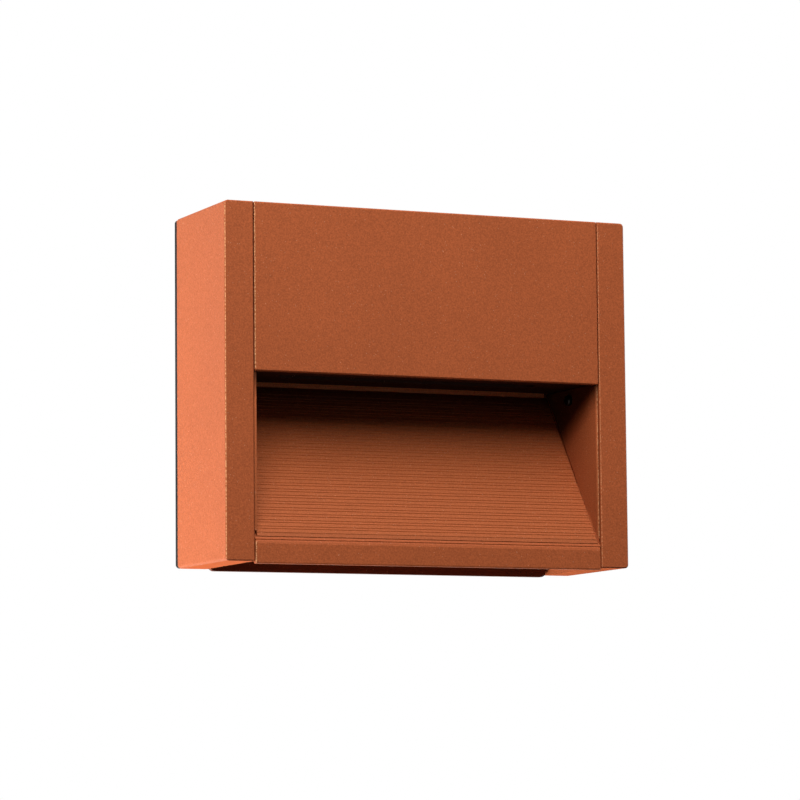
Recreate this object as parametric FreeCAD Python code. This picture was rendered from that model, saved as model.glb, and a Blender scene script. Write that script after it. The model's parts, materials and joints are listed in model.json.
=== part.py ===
import FreeCAD, Part
import math
import os

# Outdoor wall light: an extruded aluminium body between two cast end caps, on a wall plate.
# Millimetres, +Z up, the wall is the plane y = 0 and the light faces -Y.
# The origin is the centre of the four screw slots, on the wall. Left is -X.
# Depth is counted forwards from the body's back rim, height from the origin.

# Whole body
BODY_WIDTH = 149.0
BODY_HEIGHT = 120.0
BODY_DEPTH = 44.5
EDGE_BREAK = 0.4
END_EDGE_BREAK = 0.3
OVERRUN = 1.0

# Wall gasket
WALL_GASKET_THICK = 2.5
WALL_GASKET_INSET = 0.2
WALL_GASKET_CORNER = 1.3
WALL_GASKET_SLOT_MARGIN = 2.5

# Fits
SLIDE_FIT = 0.1
SEAT_FIT = 0.05
PLATE_FIT = 0.3
SEAM_GAP = 0.35
SOCKET_SHARE = 0.7

# End caps
CAP_WIDTH = 10.3
CAP_SKIN = 2.5
CAP_WALL = 2.0
CAP_CORNER = 1.3
CAP_POCKET_CORNER = 1.5
CAP_RIB = 4.0
LUG_REACH = 10.0
LUG_THICK = 3.0
LUG_HEIGHT = 7.0
LUG_CORNER = 2.0

# Extruded body
TOP_WALL = 2.5
HOOD_WALL = 2.5
HOOD_HEIGHT = 56.8
HOOD_DRIP = 0.7
CEILING_WALL = 2.0
REAR_WALL = 2.0
REAR_SPACE = 6.0
BOX_CORNER = 1.0
LOWER_DROP = 0.7

# Slope, from the lip up to the ceiling, measured at the middle of its ribs
SLOPE_FRONT_RISE = 7.9
SLOPE_TOP_DEPTH = 4.7
SLOPE_WALL = 1.8

# Lip below the slope
LIP_FACE = 7.0
LIP_WALL = 2.0
LIP_CREST_RISE = 1.9
LIP_CREST_SETBACK = 0.9
LIP_STEP = 0.2

# Ribbed reflector
RIB_PITCH = 2.72
RIB_DEPTH = 0.18
TOOTH_STEP = 0.13
SECOND_TOOTH_SHARE = 0.6
REFLECTOR_BASE = 1.0
REFLECTOR_END_GAP = 0.05
FOOT_LENGTH = 1.25
FOOT_SINK = 0.25

# Retaining strip at the top of the slope, in three lengths
STRIP_HEIGHT = 1.4
STRIP_DEPTH = 3.0
STRIP_END_GAP = 1.85
STRIP_BREAK_GAP = 0.25
STRIP_BREAK_SHARES = (0.408, 0.778)

# Side plates that line the recess
SIDE_PLATE_THICK = 0.8
SIDE_PLATE_SETBACK = 1.0
SIDE_PLATE_CLEAR = 0.2
SIDE_PLATE_SLOT = 0.45
SIDE_SCREW_SETBACK = 20.7
SIDE_SCREW_DROP = 4.2
SIDE_SCREW_SHANK = 2.0
SIDE_SCREW_HEAD = 3.8
SIDE_SCREW_HEAD_HEIGHT = 1.5
SIDE_SCREW_LENGTH = 6.0
SIDE_BOSS_RADIUS = 4.2

# Seals at the ends of the box
END_GASKET_THICK = 1.2
END_GASKET_WIDTH = 2.6
END_GASKET_INSET = 0.9

# Wall plate
PLATE_THICK = 2.0
PLATE_CORNER = 2.0
SLOT_END_SPACE = 29.5
SLOT_SPACING_HIGH = 40.0
SLOT_WIDTH = 4.5
SLOT_LENGTH = 12.0
CABLE_HOLE = 18.0
CABLE_HOLE_EDGE = 1.7
TONGUE_INSET = 15.0
TONGUE_WIDTH = 12.0
TONGUE_LENGTH = 5.0
TONGUE_DROP = 27.0
TAB_INSET = 21.0
TAB_WIDTH = 13.0
TAB_LENGTH = 12.5
BEND_RELIEF = 1.0

# Hanging rail and screw rail on the extrusion
HANG_RAIL_THICK = 2.0
HANG_RAIL_DEPTH = 4.5
SCREW_RAIL_WIDTH = 7.0
SCREW_RAIL_BACK = 7.5
SCREW_RAIL_DROP = 5.6
FIXING_SHANK = 4.0
FIXING_HEAD = 7.6
FIXING_HEAD_HEIGHT = 2.6
FIXING_LENGTH = 10.0

# Hexagon screws in the caps' lugs
LUG_SCREW_SHANK = 3.0
LUG_SCREW_FLATS = 5.5
LUG_SCREW_HEAD_HEIGHT = 2.0
LUG_SCREW_LENGTH = 8.0
SCREW_PAD_THICK = 4.0
SCREW_PAD_HEIGHT = 9.5

# Light window, glass and seal
WINDOW_END_COVER = 7.0
WINDOW_SIDE_COVER = 4.3
GLASS_END_SPACE = 9.0
GLASS_SIDE_SPACE = 7.2
GLASS_THICK = 3.0
GLASS_CORNER = 2.0
GLASS_GASKET_THICK = 0.8
GLASS_GASKET_WIDTH = 3.6
FLOOR_RIB_THICK = 1.2
FLOOR_RIB_HEIGHT = 2.5

# Heat sink and LED board
SINK_OVERLAP = 2.0
SINK_HEIGHT = 8.5
SINK_WALL = 2.0
BOARD_TAIL = 3.0
BOARD_THICK = 1.6
LED_PITCH = 8.0
LED_SIZE = 3.5
LED_HEIGHT = 0.8

# Gear tray and the grooves that hold it
TRAY_THICK = 1.5
GROOVE_RIB_THICK = 1.5
GROOVE_RIB_DEPTH = 2.0
LEAD_NOTCH_LENGTH = 11.0
LEAD_NOTCH_WIDTH = 10.0

# Driver
DRIVER_END_SPACE = 14.0
DRIVER_REAR_SPACE = 7.9
DRIVER_HEIGHT = 21.0
WIRING_SPACE = 19.0
DRIVER_WALL = 1.5
DRIVER_CORNER = 1.5
EAR_LENGTH = 6.0
EAR_WIDTH = 6.0
EAR_CORNER = 1.5
DRIVER_SCREW_SHANK = 2.5
DRIVER_SCREW_FLATS = 4.5
DRIVER_SCREW_HEAD_HEIGHT = 1.8
DRIVER_SCREW_LENGTH = 4.5
DRIVER_BOARD_RISE = 2.5
DRIVER_BOARD_GAP = 0.5
TRANSFORMER_LENGTH = 18.0
TRANSFORMER_WIDTH = 10.5
TRANSFORMER_HEIGHT = 12.0
WINDING_HEIGHT = 7.0
WINDING_DIAMETER = 9.0
CAPACITOR_DIAMETER = 8.0
CAPACITOR_HEIGHT = 12.0
CAPACITOR_SPACE = 2.0

# Terminal block and earth point
TERMINAL_POLES = 3
TERMINAL_PITCH = 6.0
TERMINAL_LENGTH = 17.0
TERMINAL_HEIGHT = 14.0
TERMINAL_END_SPACE = 2.0
TERMINAL_SHOULDER = 5.0
TERMINAL_WIRE_HEIGHT = 4.5
TERMINAL_WIRE_HOLE = 2.6
TERMINAL_WIRE_HOLE_DEPTH = 7.5
TERMINAL_SCREW = 3.4
TERMINAL_SCREW_SINK = 1.5
TERMINAL_SCREW_FIT = 0.2
BLADE_SPACE = 3.5
BLADE_LENGTH = 7.0
BLADE_WIDTH = 4.8
BLADE_THICK = 0.8
EARTH_TAG_LENGTH = 6.0
EARTH_TAG_WALL = 0.6
EARTH_TAG_GAP = 1.6
EARTH_BARREL = 2.6
EARTH_BARREL_LENGTH = 4.0

# Leads
LEAD_DIAMETER = 1.6
LED_LEAD_WIDTH = 3.2
LED_LEAD_THICK = 1.4
LED_LEAD_END_SPACE = 1.3

# Rubber grommet in the box's rear wall
GROMMET_FLANGE = 16.0
GROMMET_FLANGE_THICK = 2.0
GROMMET_NECK = 12.0
GROMMET_LIP = 14.0
GROMMET_LIP_THICK = 2.0
CABLE_BORE = 6.5

# Places worked out from the sizes above
X = FreeCAD.Vector(1, 0, 0)
Y = FreeCAD.Vector(0, 1, 0)
Z = FreeCAD.Vector(0, 0, 1)
TOP = BODY_HEIGHT / 2
LOWER_EDGE = -TOP - LOWER_DROP
CAP_INNER = BODY_WIDTH / 2 - CAP_WIDTH
PROFILE_END = CAP_INNER - SEAM_GAP
HOOD_EDGE = TOP - HOOD_HEIGHT
CEILING = HOOD_EDGE + HOOD_DRIP
FLOOR = CEILING + CEILING_WALL
BOX_TOP = TOP - TOP_WALL
BOX_BACK = PLATE_THICK + REAR_SPACE
BOX_INSIDE_BACK = BOX_BACK + REAR_WALL
BOX_INSIDE_FRONT = BODY_DEPTH - HOOD_WALL
PROFILE_BACK = PLATE_THICK + PLATE_FIT
CREST_HEIGHT = LOWER_EDGE + LIP_FACE + LIP_CREST_RISE
CABLE_HEIGHT = BOX_TOP - PLATE_FIT - CABLE_HOLE / 2 - CABLE_HOLE_EDGE
SLOT_SPACING_WIDE = BODY_WIDTH - 2 * SLOT_END_SPACE
TONGUE_SPACING = SLOT_SPACING_WIDE - 2 * TONGUE_INSET
TONGUE_HEIGHT = TOP - TONGUE_DROP
TAB_SPACING = SLOT_SPACING_WIDE - 2 * TAB_INSET
WINDOW_DEPTH = (BOX_INSIDE_BACK + BOX_INSIDE_FRONT) / 2
GLASS_LENGTH = 2 * (PROFILE_END - GLASS_END_SPACE)
GLASS_WIDTH = BOX_INSIDE_FRONT - BOX_INSIDE_BACK - 2 * GLASS_SIDE_SPACE
WINDOW_LENGTH = GLASS_LENGTH - 2 * WINDOW_END_COVER
WINDOW_WIDTH = GLASS_WIDTH - 2 * WINDOW_SIDE_COVER
SINK_LENGTH = WINDOW_LENGTH + 2 * SINK_OVERLAP
BOARD_LENGTH = SINK_LENGTH + 2 * BOARD_TAIL
BOARD_WIDTH = GLASS_WIDTH - 2 * SINK_WALL - 2 * PLATE_FIT
GLASS_BACK = WINDOW_DEPTH - GLASS_WIDTH / 2
GLASS_FRONT = WINDOW_DEPTH + GLASS_WIDTH / 2
GLASS_LOW = FLOOR + GLASS_GASKET_THICK
SINK_LOW = GLASS_LOW + GLASS_THICK
SINK_TOP = SINK_LOW + SINK_HEIGHT
BOARD_LOW = SINK_TOP - SINK_WALL - BOARD_THICK
TRAY_LOW = SINK_TOP + SLIDE_FIT
TRAY_TOP = TRAY_LOW + TRAY_THICK
TERMINAL_RIGHT = PROFILE_END - TERMINAL_END_SPACE
TERMINAL_LEFT = TERMINAL_RIGHT - TERMINAL_LENGTH
DRIVER_LEFT = DRIVER_END_SPACE - PROFILE_END
DRIVER_RIGHT = TERMINAL_LEFT - WIRING_SPACE
DRIVER_FRONT = BOX_INSIDE_FRONT - GROOVE_RIB_DEPTH - SLIDE_FIT
DRIVER_BACK = BOX_INSIDE_BACK + DRIVER_REAR_SPACE
DRIVER_MIDDLE = (DRIVER_BACK + DRIVER_FRONT) / 2
TERMINAL_BACK = DRIVER_MIDDLE - 2 * TERMINAL_PITCH
LEAD_HEIGHT = TRAY_TOP + TERMINAL_WIRE_HEIGHT
SLOPE_RISE = CEILING - SLOPE_FRONT_RISE + TOP
SLOPE_LENGTH = math.hypot(SLOPE_RISE, BODY_DEPTH - SLOPE_TOP_DEPTH)
SLOPE_SINE = SLOPE_RISE / SLOPE_LENGTH
SLOPE_COSINE = (BODY_DEPTH - SLOPE_TOP_DEPTH) / SLOPE_LENGTH
REFLECTOR_BACK = RIB_DEPTH / 2 + REFLECTOR_BASE
SLOPE_FACE = REFLECTOR_BACK + SEAT_FIT
SLOPE_BACK = SLOPE_FACE + SLOPE_WALL
SIDE_SCREW_DEPTH = BODY_DEPTH - SIDE_SCREW_SETBACK
SIDE_SCREW_HEIGHT = CEILING - SIDE_SCREW_DROP
SIDE_PLATE_INNER = PROFILE_END - SIDE_PLATE_THICK


def y_at(depth):
    """Y of a point that lies this far in front of the body's back rim."""
    return -WALL_GASKET_THICK - depth


def point(x, depth, height):
    return FreeCAD.Vector(x, y_at(depth), height)


def block(x_low, x_high, back, front, low, high):
    return Part.makeBox(x_high - x_low, front - back, high - low, point(x_low, front, low))


def across(outline, x_low, x_high):
    """A solid with this outline of (depth, height) points, running along X."""
    corners = [point(x_low, depth, height) for depth, height in outline]
    return Part.Face(Part.makePolygon(corners + corners[:1])).extrude(X * (x_high - x_low))


def rod(diameter, length, start, direction):
    return Part.makeCylinder(diameter / 2, length, start, direction)


def prism(sides, across_flats, thick, start, direction):
    """A regular prism with the given size over its flats."""
    radius = across_flats / 2 / math.cos(math.pi / sides)
    turns = [2 * math.pi / sides * step for step in range(sides + 1)]
    corners = [FreeCAD.Vector(radius * math.cos(a), radius * math.sin(a), 0) for a in turns]
    body = Part.Face(Part.makePolygon(corners)).extrude(Z * thick)
    body.Placement = FreeCAD.Placement(start, FreeCAD.Rotation(Z, direction))
    return body


def rounded_block(x_low, x_high, back, front, low, high, radius):
    """A block whose four long edges, along X, are rounded."""
    body = block(x_low, x_high, back, front, low, high)
    return body.makeFillet(radius, edges_along(body, X))


def edges_along(shape, direction, keep=None):
    """Straight edges parallel to a direction whose middle passes the test."""
    chosen = []
    for edge in shape.Edges:
        if not isinstance(edge.Curve, (Part.Line, Part.LineSegment)):
            continue
        run = edge.Vertexes[-1].Point - edge.Vertexes[0].Point
        if run.Length == 0 or run.cross(direction).Length > SEAT_FIT * run.Length:
            continue
        if keep is None or keep(edge.CenterOfMass):
            chosen.append(edge)
    return chosen


def near(value, target):
    return abs(value - target) < SEAT_FIT / 2


def obround(length, width, thick, centre, direction=Y):
    """A slot that runs along X, cut through in a direction across it."""
    reach = (length - width) / 2
    slot = rod(width, thick, centre - X * reach, direction)
    slot = slot.fuse(rod(width, thick, centre + X * reach, direction))
    low = FreeCAD.Vector(centre.x - reach, centre.y, centre.z - width / 2)
    middle = Part.makeBox(2 * reach, thick, width, low)
    return slot.fuse(middle).removeSplitter()


def mirrored(shape):
    return shape.mirror(FreeCAD.Vector(0, 0, 0), X)


def both_sides(shape):
    return [shape, mirrored(shape)]


def slope_point(along, lift):
    """(depth, height) of a point on the slope: distance up from its front end, and lift off it."""
    depth = BODY_DEPTH - along * SLOPE_COSINE + lift * SLOPE_SINE
    height = SLOPE_FRONT_RISE - TOP + along * SLOPE_SINE + lift * SLOPE_COSINE
    return depth, height


def slope_at_height(height, lift):
    """Depth at which a line parallel to the slope reaches a height."""
    depth, low = slope_point(0, lift)
    return depth - (height - low) * SLOPE_COSINE / SLOPE_SINE


def slope_at_depth(depth, lift):
    """Height at which a line parallel to the slope reaches a depth."""
    front, low = slope_point(0, lift)
    return low + (front - depth) * SLOPE_SINE / SLOPE_COSINE


def pan_screw(start, direction, shank, length, head, head_height):
    """A screw with a flat round head that starts behind the given seat, with a hexagon socket."""
    back = start - direction * head_height
    body = rod(shank, length, start, direction).fuse(rod(head, head_height, back, direction))
    socket = prism(6, shank * SOCKET_SHARE, head_height / 2, back, direction)
    return body.cut(socket)


def hexagon_screw(start, direction, shank, length, flats, head_height):
    """A screw with a hexagon head that starts behind the given seat."""
    head = prism(6, flats, head_height, start - direction * head_height, direction)
    return head.fuse(rod(shank, length, start, direction))


def make_wall_gasket():
    """Flat rubber sheet behind the whole body, cut out round the plate's slots and cable hole."""
    half = BODY_WIDTH / 2 - WALL_GASKET_INSET
    top = TOP - WALL_GASKET_INSET
    sheet = Part.makeBox(2 * half, WALL_GASKET_THICK, 2 * top, FreeCAD.Vector(-half, y_at(0), -top))
    sheet = sheet.makeFillet(WALL_GASKET_CORNER, edges_along(sheet, Y))
    reach = SLOT_LENGTH / 2 + WALL_GASKET_SLOT_MARGIN
    rise = SLOT_WIDTH / 2 + WALL_GASKET_SLOT_MARGIN
    cuts = [rod(CABLE_HOLE, WALL_GASKET_THICK, point(0, 0, CABLE_HEIGHT), Y)]
    for x, height in slot_places():
        cuts.append(block(x - reach, x + reach, -WALL_GASKET_THICK - OVERRUN, OVERRUN,
                          height - rise, height + rise))
    return sheet.cut(Part.makeCompound(cuts))


def slot_places():
    """(x, height) of the four screw slots' centres."""
    return [(x, height) for x in (-SLOT_SPACING_WIDE / 2, SLOT_SPACING_WIDE / 2)
            for height in (-SLOT_SPACING_HIGH / 2, SLOT_SPACING_HIGH / 2)]


def plate_openings():
    """The plate's four screw slots and its cable hole."""
    start = y_at(PLATE_THICK)
    cuts = [rod(CABLE_HOLE, PLATE_THICK, point(0, PLATE_THICK, CABLE_HEIGHT), Y)]
    for x, height in slot_places():
        cuts.append(obround(SLOT_LENGTH, SLOT_WIDTH, PLATE_THICK, FreeCAD.Vector(x, start, height)))
    return cuts


def make_wall_plate():
    """Coated steel plate with two tongues that carry the lamp and two slotted tabs that lock it."""
    half = PROFILE_END - SEAM_GAP / 2
    plate = block(-half, half, 0, PLATE_THICK, LOWER_EDGE, BOX_TOP - PLATE_FIT)
    plate = plate.makeFillet(PLATE_CORNER, edges_along(plate, Y))
    pieces = [plate]
    cuts = plate_openings()
    for centre in (-TONGUE_SPACING / 2, TONGUE_SPACING / 2):
        window, tongue = bent_tab(centre, TONGUE_WIDTH, TONGUE_LENGTH, TONGUE_HEIGHT)
        cuts.append(window)
        pieces.append(tongue)
    for centre in (-TAB_SPACING / 2, TAB_SPACING / 2):
        window, tab = bent_tab(centre, TAB_WIDTH, TAB_LENGTH, tab_height())
        cuts.append(window)
        pieces.append(tab.cut(tab_slot(centre)))
    return plate.cut(Part.makeCompound(cuts)).multiFuse(pieces[1:]).removeSplitter()


def bent_tab(centre, width, length, height):
    """The window that a tab leaves in the plate, and the tab bent forwards at the window's foot."""
    window = block(centre - width / 2 - BEND_RELIEF / 2, centre + width / 2 + BEND_RELIEF / 2,
                   -OVERRUN, PLATE_THICK + OVERRUN, height, height + length)
    tab = block(centre - width / 2, centre + width / 2,
                PLATE_THICK / 2, PLATE_THICK + length, height - PLATE_THICK, height)
    tips = edges_along(tab, Z, lambda middle: near(middle.y, y_at(PLATE_THICK + length)))
    return window, tab.makeChamfer(PLATE_CORNER, tips)


def tab_slot(centre):
    """The tab's slot, open to the front so that the lamp pulls off over its loosened screws."""
    width = FIXING_SHANK + 2 * PLATE_FIT
    low = tab_height() - PLATE_THICK - OVERRUN
    high = PLATE_THICK + 2 * OVERRUN
    seat = screw_rail_middle()
    slot = block(centre - width / 2, centre + width / 2, seat,
                 PLATE_THICK + TAB_LENGTH + OVERRUN, low, low + high)
    return slot.fuse(rod(width, high, point(centre, seat, low), Z))


def screw_rail_middle():
    return SCREW_RAIL_BACK + SCREW_RAIL_WIDTH / 2


def tab_height():
    """Height of the tabs' upper faces, a little below the back of the sloping wall."""
    front = SCREW_RAIL_BACK + SCREW_RAIL_WIDTH
    return slope_at_depth(front, -SLOPE_BACK) - SCREW_RAIL_DROP


def profile_outline():
    """Section of the extrusion as (depth, height) points, clockwise from the top of its back."""
    rail_top = tab_height() + SLIDE_FIT
    rail_front = SCREW_RAIL_BACK + SCREW_RAIL_WIDTH
    hang_low = TONGUE_HEIGHT + SLIDE_FIT
    step_along = reflector_foot() - SEAT_FIT
    tooth = LOWER_EDGE + LIP_FACE + LIP_CREST_RISE / 2
    return [
        (0, TOP),
        (BODY_DEPTH, TOP),
        (BODY_DEPTH, HOOD_EDGE),
        (BOX_INSIDE_FRONT, HOOD_EDGE),
        (BOX_INSIDE_FRONT, CEILING),
        (slope_at_height(CEILING, -SLOPE_FACE), CEILING),
        slope_point(step_along, -SLOPE_FACE),
        (BODY_DEPTH - LIP_CREST_SETBACK, CREST_HEIGHT),
        (BODY_DEPTH - (LIP_CREST_SETBACK - LIP_STEP) / 2, tooth + TOOTH_STEP),
        (BODY_DEPTH - (LIP_CREST_SETBACK + LIP_STEP) / 2, tooth),
        (BODY_DEPTH, LOWER_EDGE + LIP_FACE),
        (BODY_DEPTH, LOWER_EDGE),
        (BODY_DEPTH - LIP_WALL, LOWER_EDGE),
        (BODY_DEPTH - LIP_WALL, slope_at_depth(BODY_DEPTH - LIP_WALL, -SLOPE_BACK)),
        (rail_front, slope_at_depth(rail_front, -SLOPE_BACK)),
        (rail_front, rail_top),
        (SCREW_RAIL_BACK, rail_top),
        (SCREW_RAIL_BACK, slope_at_depth(SCREW_RAIL_BACK, -SLOPE_BACK)),
        (PROFILE_BACK, slope_at_depth(PROFILE_BACK, -SLOPE_BACK)),
        (PROFILE_BACK, FLOOR),
        (BOX_BACK, FLOOR),
        (BOX_BACK, hang_low),
        (BOX_BACK - HANG_RAIL_DEPTH, hang_low),
        (BOX_BACK - HANG_RAIL_DEPTH, hang_low + HANG_RAIL_THICK),
        (BOX_BACK, hang_low + HANG_RAIL_THICK),
        (BOX_BACK, BOX_TOP),
        (0, BOX_TOP),
    ]


def box_outline():
    """The hollow of the sealed box, with a screw pad, floor ribs and the tray's grooves."""
    pad = BOX_INSIDE_BACK + SCREW_PAD_THICK
    rib_top = FLOOR + FLOOR_RIB_HEIGHT
    rear_rib = GLASS_BACK - SLIDE_FIT
    front_rib = GLASS_FRONT + SLIDE_FIT
    shelf_low = TRAY_LOW - GROOVE_RIB_THICK
    shelf_high = TRAY_TOP + SLIDE_FIT
    rear_shelf = BOX_INSIDE_BACK + GROOVE_RIB_DEPTH
    front_shelf = BOX_INSIDE_FRONT - GROOVE_RIB_DEPTH
    return [
        (BOX_INSIDE_BACK, FLOOR),
        (rear_rib - FLOOR_RIB_THICK, FLOOR),
        (rear_rib - FLOOR_RIB_THICK, rib_top),
        (rear_rib, rib_top),
        (rear_rib, FLOOR),
        (front_rib, FLOOR),
        (front_rib, rib_top),
        (front_rib + FLOOR_RIB_THICK, rib_top),
        (front_rib + FLOOR_RIB_THICK, FLOOR),
        (BOX_INSIDE_FRONT, FLOOR),
        (BOX_INSIDE_FRONT, shelf_low),
        (front_shelf, shelf_low),
        (front_shelf, TRAY_LOW),
        (BOX_INSIDE_FRONT, TRAY_LOW),
        (BOX_INSIDE_FRONT, shelf_high),
        (front_shelf, shelf_high),
        (front_shelf, shelf_high + GROOVE_RIB_THICK),
        (BOX_INSIDE_FRONT, shelf_high + GROOVE_RIB_THICK),
        (BOX_INSIDE_FRONT, BOX_TOP),
        (pad, BOX_TOP),
        (pad, BOX_TOP - SCREW_PAD_HEIGHT),
        (BOX_INSIDE_BACK, BOX_TOP - SCREW_PAD_HEIGHT),
        (BOX_INSIDE_BACK, shelf_high + GROOVE_RIB_THICK),
        (rear_shelf, shelf_high + GROOVE_RIB_THICK),
        (rear_shelf, shelf_high),
        (BOX_INSIDE_BACK, shelf_high),
        (BOX_INSIDE_BACK, TRAY_LOW),
        (rear_shelf, TRAY_LOW),
        (rear_shelf, shelf_low),
        (BOX_INSIDE_BACK, shelf_low),
    ]


def reflector_foot():
    """Distance up the slope at which the ribbed reflector starts, just behind the lip's crest."""
    rise = CREST_HEIGHT - slope_point(0, 0)[1]
    return LIP_CREST_SETBACK * SLOPE_COSINE + rise * SLOPE_SINE + 2 * SEAT_FIT


def make_housing_profile():
    """The extruded body, cut to length, with the light window and screw holes machined in it."""
    body = across(profile_outline(), -PROFILE_END, PROFILE_END)
    front_edges = edges_along(body, X, lambda middle: near(middle.y, y_at(BODY_DEPTH)))
    body = body.makeChamfer(EDGE_BREAK, front_edges)
    hollow = across(box_outline(), -PROFILE_END - OVERRUN, PROFILE_END + OVERRUN)
    cuts = [hollow, rounded_window(), grommet_hole(), grommet_notch()]
    for start, direction in lug_screw_places():
        for side in (-1, 1):
            place = FreeCAD.Vector(start.x * side, start.y, start.z)
            cuts.append(rod(LUG_SCREW_SHANK + 2 * SEAT_FIT, LUG_SCREW_LENGTH + SEAT_FIT, place, direction))
    for centre in (-TAB_SPACING / 2, TAB_SPACING / 2):
        start = point(centre, screw_rail_middle(), tab_height() - PLATE_THICK)
        cuts.append(rod(FIXING_SHANK + 2 * SEAT_FIT, FIXING_LENGTH + SEAT_FIT, start, Z))
    body = body.cut(Part.makeCompound(cuts))
    ends = [edge for edge in body.Edges if end_edge_shows(edge)]
    return body.makeChamfer(END_EDGE_BREAK, ends)


def end_edge_shows(edge):
    """Edges where the end faces meet the hood's front, the top or the lip's front."""
    middle = edge.CenterOfMass
    if not near(abs(middle.x), PROFILE_END):
        return False
    return middle.y < y_at(BODY_DEPTH - EDGE_BREAK) or near(middle.z, TOP)


def rounded_window():
    """The slot in the ceiling that the light shines through, with round ends."""
    reach = (WINDOW_LENGTH - WINDOW_WIDTH) / 2
    low = CEILING - OVERRUN
    high = CEILING_WALL + 2 * OVERRUN
    slot = block(-reach, reach, WINDOW_DEPTH - WINDOW_WIDTH / 2, WINDOW_DEPTH + WINDOW_WIDTH / 2,
                 low, low + high)
    for x in (-reach, reach):
        slot = slot.fuse(rod(WINDOW_WIDTH, high, point(x, WINDOW_DEPTH, low), Z))
    return slot.removeSplitter()


def grommet_hole():
    start = point(0, BOX_BACK - OVERRUN, CABLE_HEIGHT)
    return rod(GROMMET_NECK + 2 * SEAT_FIT, REAR_WALL + 2 * OVERRUN, start, -Y)


def grommet_notch():
    """Gap in the screw pad that clears the grommet's inner lip."""
    half = GROMMET_LIP / 2 + PLATE_FIT
    return block(-half, half, BOX_INSIDE_BACK, BOX_INSIDE_BACK + SCREW_PAD_THICK + OVERRUN,
                 BOX_TOP - SCREW_PAD_HEIGHT - OVERRUN, BOX_TOP)


def lug_screw_places():
    """Start and direction of the two screws on the right, at the lugs' outer faces."""
    x = CAP_INNER - LUG_REACH / 2
    rear = BOX_BACK - LUG_THICK
    upper = BOX_TOP - SCREW_PAD_HEIGHT / 2
    under = tab_height() + SLIDE_FIT - LUG_THICK
    return [
        (point(x, rear, upper), -Y),
        (point(x, screw_rail_middle(), under), Z),
    ]


def ring_sizes():
    """Outer and inner (back, front, low, high) of the seal at the end of the box."""
    outer = (BOX_BACK + END_GASKET_INSET / 2, BODY_DEPTH - END_GASKET_INSET,
             CEILING + END_GASKET_INSET / 2, TOP - END_GASKET_INSET)
    inner = (outer[0] + END_GASKET_WIDTH, outer[1] - END_GASKET_WIDTH,
             outer[2] + END_GASKET_WIDTH, outer[3] - END_GASKET_WIDTH)
    return outer, inner


def make_end_gasket():
    """Rubber ring between the right end of the box and the cap."""
    outer, inner = ring_sizes()
    low = PROFILE_END
    ring = block(low, low + END_GASKET_THICK, *outer)
    hole = rounded_block(low - OVERRUN, low + END_GASKET_THICK + OVERRUN, *inner, BOX_CORNER)
    return ring.cut(hole)


def make_end_cap():
    """The right cap: a hollow casting with ribs, a seat for the seal, lugs and a screw boss."""
    outside = BODY_WIDTH / 2
    cap = block(CAP_INNER, outside, 0, BODY_DEPTH, -TOP, TOP)
    cap = cap.makeFillet(CAP_CORNER, edges_along(cap, Y, lambda middle: near(middle.x, outside)))
    rims = [edge for edge in cap.Edges if near(edge.CenterOfMass.y, y_at(BODY_DEPTH))]
    cap = cap.makeChamfer(EDGE_BREAK, rims)
    skin = outside - CAP_SKIN
    outer, inner = ring_sizes()
    rib_back = inner[0] - CAP_RIB
    rib_low = inner[2] - CAP_RIB
    open_face = CAP_INNER - OVERRUN
    front = BODY_DEPTH - CAP_WALL
    upper = rounded_block(open_face, skin, *inner, CAP_POCKET_CORNER)
    lower = rounded_block(open_face, skin, CAP_WALL, front, -TOP + CAP_WALL, rib_low, CAP_POCKET_CORNER)
    behind = rounded_block(open_face, skin, CAP_WALL, rib_back, CAP_WALL - TOP, TOP - CAP_WALL,
                           CAP_POCKET_CORNER)
    seat = [outer[0] - SLIDE_FIT, outer[1] + SLIDE_FIT, outer[2] - SLIDE_FIT, outer[3] + SLIDE_FIT]
    groove = block(open_face, PROFILE_END + END_GASKET_THICK, *seat)
    cap = cap.cut(Part.makeCompound([upper, groove])).cut(lower.fuse(behind))
    cap = cap.multiFuse(cap_lugs(skin) + [side_screw_boss(skin)]).removeSplitter()
    cuts = [rod(SIDE_SCREW_SHANK + 2 * SEAT_FIT, SIDE_SCREW_LENGTH, side_screw_start(), X)]
    for start, direction in lug_screw_places():
        cuts.append(rod(LUG_SCREW_SHANK + 2 * SEAT_FIT, LUG_THICK, start, direction))
    return cap.cut(Part.makeCompound(cuts))


def cap_lugs(skin):
    """A lug behind the box and one under the screw rail, with cut corners."""
    low_x = CAP_INNER - LUG_REACH
    root = skin + CAP_SKIN / 2
    low = lug_screw_places()[0][0].z - LUG_HEIGHT / 2
    behind = block(low_x, root, BOX_BACK - LUG_THICK, BOX_BACK, low, low + LUG_HEIGHT)
    high = tab_height() + SLIDE_FIT
    under = block(low_x, root, SCREW_RAIL_BACK, SCREW_RAIL_BACK + SCREW_RAIL_WIDTH, high - LUG_THICK, high)
    lugs = []
    for lug, direction in ((behind, Y), (under, Z)):
        tips = edges_along(lug, direction, lambda middle: near(middle.x, low_x))
        lugs.append(lug.makeChamfer(LUG_CORNER, tips))
    return lugs


def side_screw_start():
    return point(SIDE_PLATE_INNER, SIDE_SCREW_DEPTH, SIDE_SCREW_HEIGHT)


def side_screw_boss(skin):
    start = point(CAP_INNER, SIDE_SCREW_DEPTH, SIDE_SCREW_HEIGHT)
    return rod(2 * SIDE_BOSS_RADIUS, skin + CAP_SKIN / 2 - CAP_INNER, start, X)


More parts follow.
